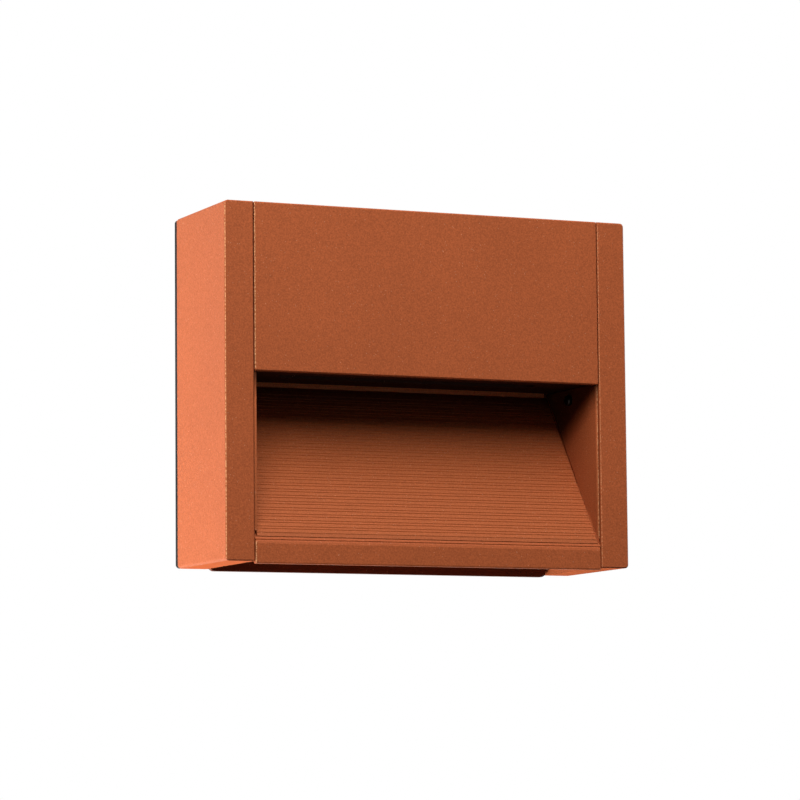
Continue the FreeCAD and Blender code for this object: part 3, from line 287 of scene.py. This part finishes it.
def recess_share(coat):
    """1 on surfaces that line the light recess, 0 on the rest of the coated pieces."""
    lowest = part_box("ribbed_reflector")[0].z
    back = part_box("ribbed_reflector")[1].y
    plate_low, plate_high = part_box("side_plate_right")
    between = inside(coat, "X", -plate_high.x - HAIR, plate_high.x + HAIR)
    behind_front = inside(coat, "Y", plate_low.y - RECESS_FRONT, back)
    return between * behind_front * inside(coat, "Z", lowest, plate_high.z + CEILING_THICK)


def ceiling_share(coat):
    """1 on the recess's ceiling and in its light window."""
    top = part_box("side_plate_right")[1].z
    return recess_share(coat) * inside(coat, "Z", top - HAIR, top + CEILING_THICK)


def side_share(coat):
    """1 high up and far back on the recess's side walls, 0 low and in front."""
    plate_low, plate_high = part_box("side_plate_right")
    x = coat.axis("X")
    at_side = (x > plate_low.x - HAIR) + (x < HAIR - plate_low.x)
    back = (coat.axis("Y") - plate_low.y) * SIDE_SHADE_SLOPE
    inner = inside(coat, "Y", plate_low.y + HIGHLIGHT_WIDTH, plate_high.y)
    shade = coat.spread(coat.axis("Z") + back, *SIDE_SHADE)
    return recess_share(coat) * at_side * inner * shade


def underside_share(coat):
    """1 behind the lip and on the wall plate's foot, which only an eye near the floor sees."""
    profile_low, profile_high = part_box("housing_profile")
    plate_low, plate_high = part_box("wall_plate")
    shade_begins, shade_full = PLATE_FOOT
    between = inside(coat, "X", profile_low.x - HAIR, profile_high.x + HAIR)
    face = plate_high.y - PLATE_SHEET
    behind_lip = inside(coat, "Y", profile_low.y + LIP_DEPTH, face)
    lip_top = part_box("ribbed_reflector")[0].z
    under = behind_lip * inside(coat, "Z", plate_low.z - HAIR, lip_top)
    foot = coat.spread(coat.axis("Z"), plate_low.z + shade_begins, plate_low.z + shade_full)
    return between * (under + (coat.axis("Y") > face) * foot)


def edge_highlight_share(coat):
    """Up to 1 in patches along a few front edges that face the left, where highlights are painted,
    0 elsewhere.
    """
    plate_low, plate_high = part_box("side_plate_right")
    profile_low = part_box("housing_profile")[0]
    edges = ((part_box("end_cap_left")[0].x, 1), (profile_low.x, 1),
             (plate_high.x + SEAM, RIGHT_SEAM_HIGHLIGHT))
    highlit = 0
    for x, share in edges:
        highlit = highlit + inside(coat, "X", x - HALF_HAIR, x + HIGHLIGHT_WIDTH) * share
    near_front = coat.axis("Y") < profile_low.y + HIGHLIGHT_WIDTH
    plate_front = inside(coat, "Y", plate_low.y - HAIR, plate_low.y + HIGHLIGHT_WIDTH)
    plate_edge = inside(coat, "X", plate_high.x - HIGHLIGHT_WIDTH, plate_high.x + HALF_HAIR)
    patches = coat.spread(coat.noise(HIGHLIGHT_PATCH, 2), *HIGHLIGHT_LIMITS)
    return (highlit * near_front + plate_edge * plate_front * PLATE_EDGE_HIGHLIGHT) * patches


def beside_profile(coat):
    """1 where only the two end caps are, 0 between them."""
    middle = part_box("housing_profile")[1].x
    x = coat.axis("X")
    return (x < -middle) + (x > middle)


def cap_bottom_share(coat):
    """1 on the undersides of the two end caps."""
    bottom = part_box("end_cap_left")[0].z
    return beside_profile(coat) * inside(coat, "Z", bottom - HAIR, bottom + HALF_HAIR)


def cap_foot_share(coat):
    """1 along the lower front edges of the two end caps, which lie in their own shadow."""
    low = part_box("end_cap_left")[0]
    front = inside(coat, "Y", low.y - HAIR, low.y + CAP_FOOT_DEPTH)
    return beside_profile(coat) * front * inside(coat, "Z", low.z - HAIR, low.z + CAP_FOOT_HEIGHT)


# Finishes

# Marks painted on the coat: flake glints, edge highlights, light on the end caps' undersides and
# a shadow along their lower front edges. For each, how much of the coat's colour it covers, and
# its own colour.
FLAKE_GLINT_MARK = (0.2, srgb(255, 205, 165))
EDGE_HIGHLIGHT_MARK = (0.7, srgb(255, 196, 140))
CAP_BOTTOM_LIGHT_MARK = (0.28, srgb(232, 104, 40))
CAP_FOOT_SHADOW_MARK = (0.55, srgb(70, 24, 10))


def powder_coat(name, colour, grain=1.0, recess_dark=RECESS_DARK, ceiling_dark=CEILING_DARK):
    """Fine-textured powder coat: a pimpled skin, clouds of colour and a few flakes with painted
    glints.

    In the recess the coat is duller, as painted shade. Painted light makes it paler up the slope,
    and painted shade darkens it towards the ceiling, high up on the side walls and under the body.
    Painted highlights run in patches along a few front edges that face the left. The end caps'
    undersides get a warmer painted light, and their lower front edges a painted shadow.
    """
    coat = Finish(name)
    clouds = coat.spread(coat.noise(CLOUD, 3), *CLOUD_LIMITS)
    fine = coat.noise(GRAIN, 3, rough=0.6)
    pimples = coat.noise(PIMPLE, 2)
    height = coat.axis("Z")
    recess = recess_share(coat)
    tone = coat.mix(clouds, *(toned(colour, share) for share in CLOUD_TONES))
    # painted shade: the recess's coat is a little darker red
    recess_shaded = (*(value * share for value, share in zip(colour, RECESS_SHADE_TONE)), 1)
    tone = coat.mix(recess, tone, recess_shaded)

    upper = coat.spread(height, *RECESS_SHADE)
    shadow = recess * upper * recess_dark + underside_share(coat) * UNDERSIDE_DARK
    shadow = coat.math("MAXIMUM", shadow, side_share(coat) * SIDE_DARK)
    shadow = shadow + ceiling_share(coat) * (ceiling_dark - recess_dark)
    # painted light: the coat pales up the slope
    painted_light = 1 + recess * coat.spread(height, *SLOPE_PAINTED_LIGHT)
    shade = coat.spread(fine, *GRAIN_TONES) * painted_light * (1 - shadow)
    tone = coat.node("VectorMath", {"operation": "SCALE"}, {0: tone, "Scale": shade})

    # the flakes are glossier, and their glints are painted in as pale specks
    flake = (coat.cells(FLAKE) < FLAKE_CORE) * (coat.noise(FLAKE_FIELD, 0) > FLAKE_LIMIT)
    # painted light: the end caps' undersides are a warmer orange; they are also rougher
    bottom = cap_bottom_share(coat)
    marks = ((flake, FLAKE_GLINT_MARK), (edge_highlight_share(coat), EDGE_HIGHLIGHT_MARK), (bottom, CAP_BOTTOM_LIGHT_MARK),
             (cap_foot_share(coat), CAP_FOOT_SHADOW_MARK))
    for area, (cover, mark) in marks:
        tone = coat.mix(area * cover, tone, mark)

    skin = coat.bump(pimples, SKIN_HEIGHT * grain)
    skin = coat.bump(fine, SKIN_HEIGHT * grain, under=skin)
    rough = coat.spread(fine, *GRAIN_ROUGHNESS) - flake * FLAKE_GLOSS + bottom * BOTTOM_ROUGHNESS
    return coat.surface(Base_Color=tone, Roughness=rough, Normal=skin, Specular_IOR_Level=0.1)


def black_rubber():
    """Matt rubber with fine grit and a film of dust in places."""
    rubber = Finish("black_rubber")
    grit = rubber.noise(0.4 * MM, 3)
    dust = rubber.spread(rubber.noise(12 * MM, 4), 0.45, 0.75)
    tone = rubber.mix(dust * 0.35, srgb(12, 12, 13), srgb(38, 37, 36))
    skin = rubber.bump(grit, 0.05 * MM)
    return rubber.surface(Base_Color=tone, Roughness=0.62 + grit * 0.2, Normal=skin,
                          Specular_IOR_Level=0.12)


def pale_silicone():
    """Milky silicone with a slight haze."""
    silicone = Finish("silicone_white")
    haze = silicone.noise(4 * MM, 3)
    tone = silicone.mix(haze, srgb(214, 214, 206), srgb(232, 232, 226))
    skin = silicone.bump(silicone.noise(0.8 * MM), 0.03 * MM)
    return silicone.surface(Base_Color=tone, Roughness=0.38 + haze * 0.15, Normal=skin)


def turned_steel(name, colour, rough):
    """Bright screw metal, with the fine rings and marks that turning and driving leave."""
    steel = Finish(name)
    marks = steel.noise(0.6 * MM, 4, place=steel.stretched((1, 1, 4)))
    stain = steel.spread(steel.noise(2 * MM, 3), 0.4, 0.7)
    tone = steel.mix(stain * 0.5, colour, toned(colour, 0.6))
    skin = steel.bump(marks, 0.02 * MM)
    return steel.surface(Base_Color=tone, Metallic=1.0, Roughness=rough + marks * 0.2, Normal=skin)


def drawn_metal(name, colour, rough, lines):
    """Extruded metal, with faint lines along the way that it was drawn."""
    metal = Finish(name)
    streaks = metal.noise(0.4 * MM, 3, place=metal.stretched(lines))
    clouds = metal.noise(6 * MM, 2)
    tone = metal.mix(clouds * 0.6, colour, toned(colour, 0.72))
    skin = metal.bump(streaks, 0.01 * MM)
    return metal.surface(Base_Color=tone, Metallic=1.0, Roughness=rough + streaks * 0.22,
                         Normal=skin)


def spangled_zinc():
    """Zinc-plated sheet with crystals in shades of grey."""
    zinc = Finish("zinc_steel")
    crystal = zinc.cells(4 * MM, "Color")
    share = zinc.node("SeparateColor", {}, {"Color": crystal}, "Red")
    tone = zinc.mix(share * 0.5, srgb(186, 188, 186), srgb(150, 153, 152))
    skin = zinc.bump(zinc.noise(0.6 * MM, 3), 0.02 * MM)
    return zinc.surface(Base_Color=tone, Metallic=1.0, Roughness=0.3 + share * 0.22, Normal=skin)


def clear_glass():
    """Clear glass with a few smears."""
    glass = Finish("clear_glass")
    smear = glass.spread(glass.noise(10 * MM, 4), 0.5, 0.8, 0.02, 0.12)
    return glass.surface(Base_Color=srgb(232, 240, 236), Roughness=smear, IOR=1.5,
                         Transmission_Weight=1.0)


def moulded_plastic(name, colour, rough):
    """Plastic with the fine spark-eroded skin of its mould and slight shade changes."""
    plastic = Finish(name)
    grain = plastic.noise(0.3 * MM, 3)
    clouds = plastic.noise(8 * MM, 2)
    tone = plastic.mix(clouds * 0.4, colour, toned(colour, 0.84))
    skin = plastic.bump(grain, 0.02 * MM)
    return plastic.surface(Base_Color=tone, Roughness=rough + grain * 0.15, Normal=skin)


def circuit_board(name, mask, track, coarseness):
    """Solder mask over copper, with straight tracks that show through it."""
    board = Finish(name)
    blocks = board.noise(6 * MM, 0, place=board.stretched((1, 4, 1)))
    tracks = (board.bands("Y", 1 / coarseness) > 0.62) * (blocks > 0.5)
    tone = board.mix(tracks * 0.8, mask, track)
    skin = board.bump(tracks, 0.03 * MM)
    return board.surface(Base_Color=tone, Roughness=0.28 + board.noise(MM) * 0.12, Normal=skin)


def phosphor():
    """Grainy yellow phosphor of the light chips."""
    chip = Finish("led_chip")
    grain = chip.noise(0.2 * MM, 2)
    tone = chip.mix(grain, srgb(232, 190, 70), srgb(246, 222, 120))
    skin = chip.bump(grain, 0.02 * MM)
    return chip.surface(Base_Color=tone, Roughness=0.35 + grain * 0.2, Normal=skin)


def taped_coil():
    """Yellow tape wound round the transformer, with its overlaps."""
    coil = Finish("transformer_core")
    turns = coil.bands("Z", 240)
    tone = coil.mix(turns, srgb(206, 164, 66), srgb(226, 190, 96))
    skin = coil.bump(turns, 0.05 * MM)
    return coil.surface(Base_Color=tone, Roughness=0.34 + turns * 0.1, Normal=skin)


def striped_lead():
    """Green and yellow stripes along the earth lead."""
    lead = Finish("green_lead")
    grain = lead.noise(0.5 * MM)
    tone = lead.mix(lead.bands("Y", 390) > 0.5, srgb(46, 118, 42), srgb(222, 202, 48))
    skin = lead.bump(grain, 0.02 * MM)
    return lead.surface(Base_Color=tone, Roughness=0.36 + grain * 0.1, Normal=skin)


COAT = srgb(171, 88, 50)
# The strip's coat is paler than the body's: painted light on the strip.
STRIP_LIT_COAT = srgb(226, 134, 88)

FINISHES = {
    "coated_body": powder_coat("coated_body", COAT),
    "coated_reflector": powder_coat("coated_reflector", COAT, grain=INSERT_GRAIN),
    "coated_strip": powder_coat("coated_strip", STRIP_LIT_COAT, grain=INSERT_GRAIN,
                                recess_dark=STRIP_DARK, ceiling_dark=STRIP_DARK),
    "dark_screws": turned_steel("dark_screws", srgb(34, 30, 28), 0.22),
    "black_rubber": black_rubber(),
    "silicone_white": pale_silicone(),
    "steel_screws": turned_steel("steel_screws", srgb(182, 178, 174), 0.26),
    "plain_aluminium": drawn_metal("plain_aluminium", srgb(206, 208, 210), 0.28, (1, 30, 30)),
    "clear_glass": clear_glass(),
    "board_white": circuit_board("board_white", srgb(236, 236, 230), srgb(206, 206, 198), 12 * MM),
    "board_green": circuit_board("board_green", srgb(18, 92, 44), srgb(52, 138, 74), 8 * MM),
    "led_chip": phosphor(),
    "white_plastic": moulded_plastic("white_plastic", srgb(226, 226, 220), 0.42),
    "transformer_core": taped_coil(),
    "capacitor_can": moulded_plastic("capacitor_can", srgb(26, 36, 66), 0.22),
    "zinc_steel": spangled_zinc(),
    "tinned_brass": turned_steel("tinned_brass", srgb(212, 188, 122), 0.2),
    "brown_lead": moulded_plastic("brown_lead", srgb(92, 52, 28), 0.34),
    "blue_lead": moulded_plastic("blue_lead", srgb(30, 74, 158), 0.34),
    "green_lead": striped_lead(),
    "white_lead": moulded_plastic("white_lead", srgb(224, 224, 218), 0.36),
}

slots = {part["node"]: part["material_slot"] for part in frame["record"]["subparts"]}


def dress_nodes():
    """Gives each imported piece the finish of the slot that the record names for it."""
    for node, slot in slots.items():
        mesh = frame["nodes"][node].data
        mesh.materials.clear()
        mesh.materials.append(FINISHES[slot])


# Modelled pieces


def deselect():
    bpy.ops.object.select_all(action="DESELECT")


def hold(piece):
    """Makes a piece the only one selected."""
    deselect()
    piece.select_set(True)
    bpy.context.view_layer.objects.active = piece


def turn(name, stations, sides=32, closed=True):
    """A turned piece along Z, drawn out through (radius, height) stations.

    Where it isn't closed, its last station joins its first, which makes it a ring.
    """
    deselect()
    radius, height = stations[0]
    bpy.ops.mesh.primitive_circle_add(vertices=sides, radius=radius, location=(0, 0, height),
                                      fill_type="NGON" if closed else "NOTHING")
    piece = bpy.context.object
    piece.name = name
    bpy.ops.object.mode_set(mode="EDIT")
    bpy.ops.mesh.select_all(action="SELECT")
    for new_radius, new_height in stations[1:]:
        move = {"value": (0, 0, new_height - height)}
        bpy.ops.mesh.extrude_region_move(TRANSFORM_OT_translate=move)
        scale = new_radius / radius
        bpy.ops.transform.resize(value=(scale, scale, 1))
        radius, height = new_radius, new_height
    if not closed:
        bpy.ops.mesh.select_mode(type="EDGE")
        bpy.ops.mesh.select_all(action="DESELECT")
        bpy.ops.mesh.select_non_manifold()
        bpy.ops.mesh.bridge_edge_loops()
    bpy.ops.mesh.select_all(action="SELECT")
    bpy.ops.mesh.normals_make_consistent(inside=False)
    bpy.ops.object.mode_set(mode="OBJECT")
    return piece


def thread(radius, start, length, pitch):
    """Stations of a screw's thread and of its tapered end."""
    root, point = radius * 0.87, radius * 0.75
    stations = []
    for turn_number in range(int((length - pitch) / pitch)):
        place = start + turn_number * pitch
        stations += [(radius, place + pitch * 0.15), (root, place + pitch * 0.5),
                     (radius, place + pitch * 0.85)]
    return stations + [(radius, start + length - pitch), (point, start + length)]


def carve_hexagon(piece, across_corners, depth, operation):
    """Cuts a hexagon prism out of a piece's head, or keeps only what lies in it."""
    deselect()
    bpy.ops.mesh.primitive_cylinder_add(vertices=6, radius=across_corners / 2, depth=2 * depth)
    cutter = bpy.context.object
    hold(piece)
    tool = piece.modifiers.new("prism", "BOOLEAN")
    tool.operation = operation
    tool.object = cutter
    bpy.ops.object.modifier_apply(modifier=tool.name)
    bpy.data.objects.remove(cutter)


def socket_screw(name, head, head_height, shank, length, pitch):
    """A screw with a rounded head and a hexagon socket, its head's outer face at height 0."""
    radius = head / 2
    rounded = [(radius * 0.72, 0), (radius * 0.88, head_height * 0.08),
               (radius * 0.97, head_height * 0.24), (radius, head_height * 0.5),
               (radius, head_height * 0.94), (radius * 0.97, head_height)]
    neck = [(shank / 2, head_height)]
    screw = turn(name, rounded + neck + thread(shank / 2, head_height, length, pitch))
    socket = shank * SOCKET_SHARE * CORNERS_OVER_FLATS
    carve_hexagon(screw, socket, head_height * 0.55, "DIFFERENCE")
    return screw


def hexagon_screw(name, flats, head_height, shank, length, pitch):
    """A screw with a hexagon head whose corners are turned off, and a plain collar under it."""
    corners = flats * CORNERS_OVER_FLATS
    radius = corners / 2
    head = [(radius * 0.84, 0), (radius * 0.93, head_height * 0.06), (radius, head_height * 0.2),
            (radius, head_height)]
    screw = turn(name, head)
    carve_hexagon(screw, corners, head_height * 1.2, "INTERSECT")
    collar = [(flats * 0.42, head_height * 0.5), (flats * 0.46, head_height * 0.98),
              (shank / 2, head_height)]
    stem = turn("stem", collar + thread(shank / 2, head_height, length, pitch))
    stem.select_set(True)
    screw.select_set(True)
    bpy.context.view_layer.objects.active = screw
    bpy.ops.object.join()
    return screw


def seat(piece, place, direction):
    """Turns a piece that points up to its direction, moves it and settles both in its mesh."""
    hold(piece)
    turned = Vector(direction).to_track_quat("Z", "Y").to_matrix().to_4x4()
    piece.matrix_world = Matrix.Translation(place) @ turned
    bpy.ops.object.transform_apply(location=True, rotation=True, scale=True)
    bpy.ops.object.shade_smooth_by_angle(angle=SMOOTH_ANGLE)


def stand_for(piece, node):
    """A modelled piece takes its CAD node's place, finish and body."""
    piece.data.materials.clear()
    piece.data.materials.append(FINISHES[slots[node]])
    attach(piece, "lamp")
    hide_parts(node)


def set_copies(piece, node, places):
    """Seats a copy of a piece at each (place, direction) and removes the piece itself."""
    for number, (place, direction) in enumerate(places, 1):
        copy = piece.copy()
        copy.data = piece.data.copy()
        copy.name = f"{piece.name}_{number}"
        bpy.context.collection.objects.link(copy)
        seat(copy, place, direction)
        stand_for(copy, node)
    bpy.data.objects.remove(piece)


def fit_fixing_screws():
    low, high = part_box("fixing_screws")
    head = high.y - low.y
    x, y = high.x - head / 2, (low.y + high.y) / 2
    length = high.z - low.z - FIXING_HEAD_HEIGHT
    screw = socket_screw("fixing_screw", head, FIXING_HEAD_HEIGHT, FIXING_SHANK, length,
                         FIXING_PITCH)
    set_copies(screw, "fixing_screws", [((side * x, y, low.z), (0, 0, 1)) for side in (-1, 1)])


def fit_side_plate_screws():
    low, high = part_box("side_plate_screws")
    head = high.z - low.z
    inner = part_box("side_plate_right")[0].x - SIDE_HEAD_HEIGHT
    y, z = (low.y + high.y) / 2, (low.z + high.z) / 2
    length = high.x - inner - SIDE_HEAD_HEIGHT
    screw = socket_screw("side_plate_screw", head, SIDE_HEAD_HEIGHT, SIDE_SHANK, length,
                         SIDE_PITCH)
    places = [((side * inner, y, z), (side, 0, 0)) for side in (-1, 1)]
    set_copies(screw, "side_plate_screws", places)


def fit_cap_screws():
    """Four hexagon screws: at each end cap, one behind the box and one under the screw rail."""
    low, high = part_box("cap_screws")
    screw = hexagon_screw("cap_screw", CAP_SCREW_FLATS, CAP_SCREW_HEAD_HEIGHT, CAP_SCREW_SHANK,
                          CAP_SCREW_LENGTH, CAP_SCREW_PITCH)
    x = high.x - CAP_SCREW_FLATS * CORNERS_OVER_FLATS / 2
    rear_z = high.z - CAP_SCREW_FLATS / 2
    under_y = (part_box("fixing_screws")[0].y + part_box("fixing_screws")[1].y) / 2
    places = []
    for side in (-1, 1):
        places.append(((side * x, high.y, rear_z), (0, -1, 0)))
        places.append(((side * x, under_y, low.z), (0, 0, 1)))
    set_copies(screw, "cap_screws", places)


def fit_cable_grommet():
    """Rubber grommet with soft edges, a fine groove round its mouth and ridges in its bore."""
    low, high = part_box("cable_grommet")
    flange = (high.x - low.x) / 2
    deep = high.y - low.y
    third = deep / 3
    bore = flange * BORE_SHARE
    neck = flange * 0.75
    lip = flange * 0.875
    soft = third * 0.12
    mouth = [(bore * 1.14, 0), (bore * 1.4, 0), (bore * 1.46, soft), (bore * 1.52, 0)]
    rim = [(flange * 0.93, 0), (flange * 0.98, soft), (flange, 3 * soft),
           (flange, third - 3 * soft), (flange * 0.98, third - soft), (flange * 0.93, third)]
    groove = [(neck, third), (neck, 2 * third)]
    inner_lip = [(lip * 0.97, 2 * third), (lip, 2 * third + soft),
                 (lip * 0.98, 2 * third + 3 * soft), (lip * 0.8, deep), (bore * 1.16, deep)]
    ridges = [(bore, deep - 3 * soft)]
    for step in range(RIDGES):
        place = deep - 5 * soft - step * third * 0.3
        ridges += [(bore * 1.1, place), (bore, place - third * 0.15)]
    stations = mouth + rim + groove + inner_lip + ridges + [(bore, 3 * soft)]
    ring = turn("cable_grommet_rubber", stations, sides=48, closed=False)
    seat(ring, (0, high.y, (low.z + high.z) / 2), (0, -1, 0))
    stand_for(ring, "cable_grommet")


def fit_leds():
    """Light chips: a square body with soft edges and a raised square of phosphor under it."""
    low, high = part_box("leds")
    wide, tall = high.y - low.y, high.z - low.z
    body = tall * 0.6
    rim, gap, softness = wide * 0.12, wide * 0.03, wide * 0.025
    sunk, raised = tall * 0.12, tall * 0.52
    deselect()
    bpy.ops.mesh.primitive_cube_add(size=1, location=(0, 0, 0), scale=(wide, wide, body))
    chip = bpy.context.object
    chip.name = "led"
    bpy.ops.object.transform_apply(location=True, rotation=True, scale=True)
    bpy.ops.object.mode_set(mode="EDIT")
    bpy.ops.mesh.select_mode(type="FACE")
    bpy.ops.mesh.select_all(action="DESELECT")
    bpy.ops.object.mode_set(mode="OBJECT")
    for face in chip.data.polygons:
        face.select = face.normal.z < -0.9
    bpy.ops.object.mode_set(mode="EDIT")
    bpy.ops.mesh.inset(thickness=rim)
    bpy.ops.mesh.extrude_region_move(TRANSFORM_OT_translate={"value": (0, 0, sunk)})
    bpy.ops.mesh.inset(thickness=gap)
    bpy.ops.mesh.extrude_region_move(TRANSFORM_OT_translate={"value": (0, 0, -raised)})
    bpy.ops.transform.resize(value=(0.9, 0.9, 1))
    bpy.ops.object.mode_set(mode="OBJECT")
    bevel = chip.modifiers.new("soft_edges", "BEVEL")
    bevel.width = softness
    bevel.segments = 2
    bpy.ops.object.modifier_apply(modifier=bevel.name)
    count = round((high.x - low.x - wide) / LED_PITCH) + 1
    first = low.x + wide / 2
    y, z = (low.y + high.y) / 2, high.z - body / 2
    places = [((first + number * LED_PITCH, y, z), (0, 0, 1)) for number in range(count)]
    set_copies(chip, "leds", places)


# Studio


def set_softbox(name, place, size, power):
    """A rectangular lamp that faces the wall light and that the camera doesn't see."""
    data = bpy.data.lights.new(name, "AREA")
    data.shape = "RECTANGLE"
    data.size, data.size_y = size
    data.energy = power
    softbox = bpy.data.objects.new(name, data)
    softbox.location = place
    aim = Vector(LAMP_MIDDLE) - Vector(place)
    softbox.rotation_euler = aim.to_track_quat("-Z", "Y").to_euler()
    softbox.visible_camera = False
    bpy.context.collection.objects.link(softbox)


def light_studio():
    """Four softboxes, and a world that is white to the camera but only fills the shadows."""
    for name, (place, size, power) in SOFTBOXES.items():
        set_softbox(name, place, size, power)
    studio = Finish("studio", world=True)
    strength = studio.backdrop_rays() * (1 - FILL) + FILL
    glow = studio.node("Background", {}, {"Color": (1, 1, 1, 1), "Strength": strength})
    bpy.context.scene.world = studio.finish(glow, "OutputWorld")


def lay_floor():
    """A wide pale floor, far enough below the lamp for the camera to look up at it."""
    bpy.ops.mesh.primitive_plane_add(size=FLOOR_WIDTH, location=(0, 0, FLOOR_HEIGHT))
    floor = bpy.context.object
    floor.name = "floor"
    paint = Finish("floor_paint")
    seen = paint.backdrop_rays()
    tone = paint.mix(seen, srgb(90, 90, 90), srgb(170, 170, 169))
    glow = paint.mix(seen, (0, 0, 0, 1), (0.8, 0.8, 0.8, 1))
    floor.data.materials.append(paint.surface(Base_Color=tone, Roughness=0.8, Emission_Color=glow,
                                              Emission_Strength=1.0))


def set_camera():
    """The photograph's view: a long lens, from the left and a little below."""
    azimuth, elevation, roll = (math.radians(angle) for angle in (AZIMUTH, ELEVATION, ROLL))
    back = Vector((math.sin(azimuth) * math.cos(elevation),
                   -math.cos(azimuth) * math.cos(elevation), math.sin(elevation)))
    level_right = (-back).cross(Vector((0, 0, 1))).normalized()
    level_up = level_right.cross(-back)
    right = level_right * math.cos(roll) + level_up * math.sin(roll)
    up = level_up * math.cos(roll) - level_right * math.sin(roll)
    data = bpy.data.cameras.new("camera")
    data.lens = LENS
    data.sensor_width = FILM_WIDTH
    data.clip_end = CLIP_END
    camera = bpy.data.objects.new("camera", data)
    camera.rotation_euler = Matrix((right, up, back)).transposed().to_euler()
    camera.location = Vector(LOOKS_AT) + back * DISTANCE
    bpy.context.collection.objects.link(camera)
    bpy.context.scene.camera = camera


dress_nodes()
fit_fixing_screws()
fit_side_plate_screws()
fit_cap_screws()
fit_cable_grommet()
fit_leds()
light_studio()
lay_floor()
set_camera()
bpy.context.scene.view_settings.view_transform = "Standard"
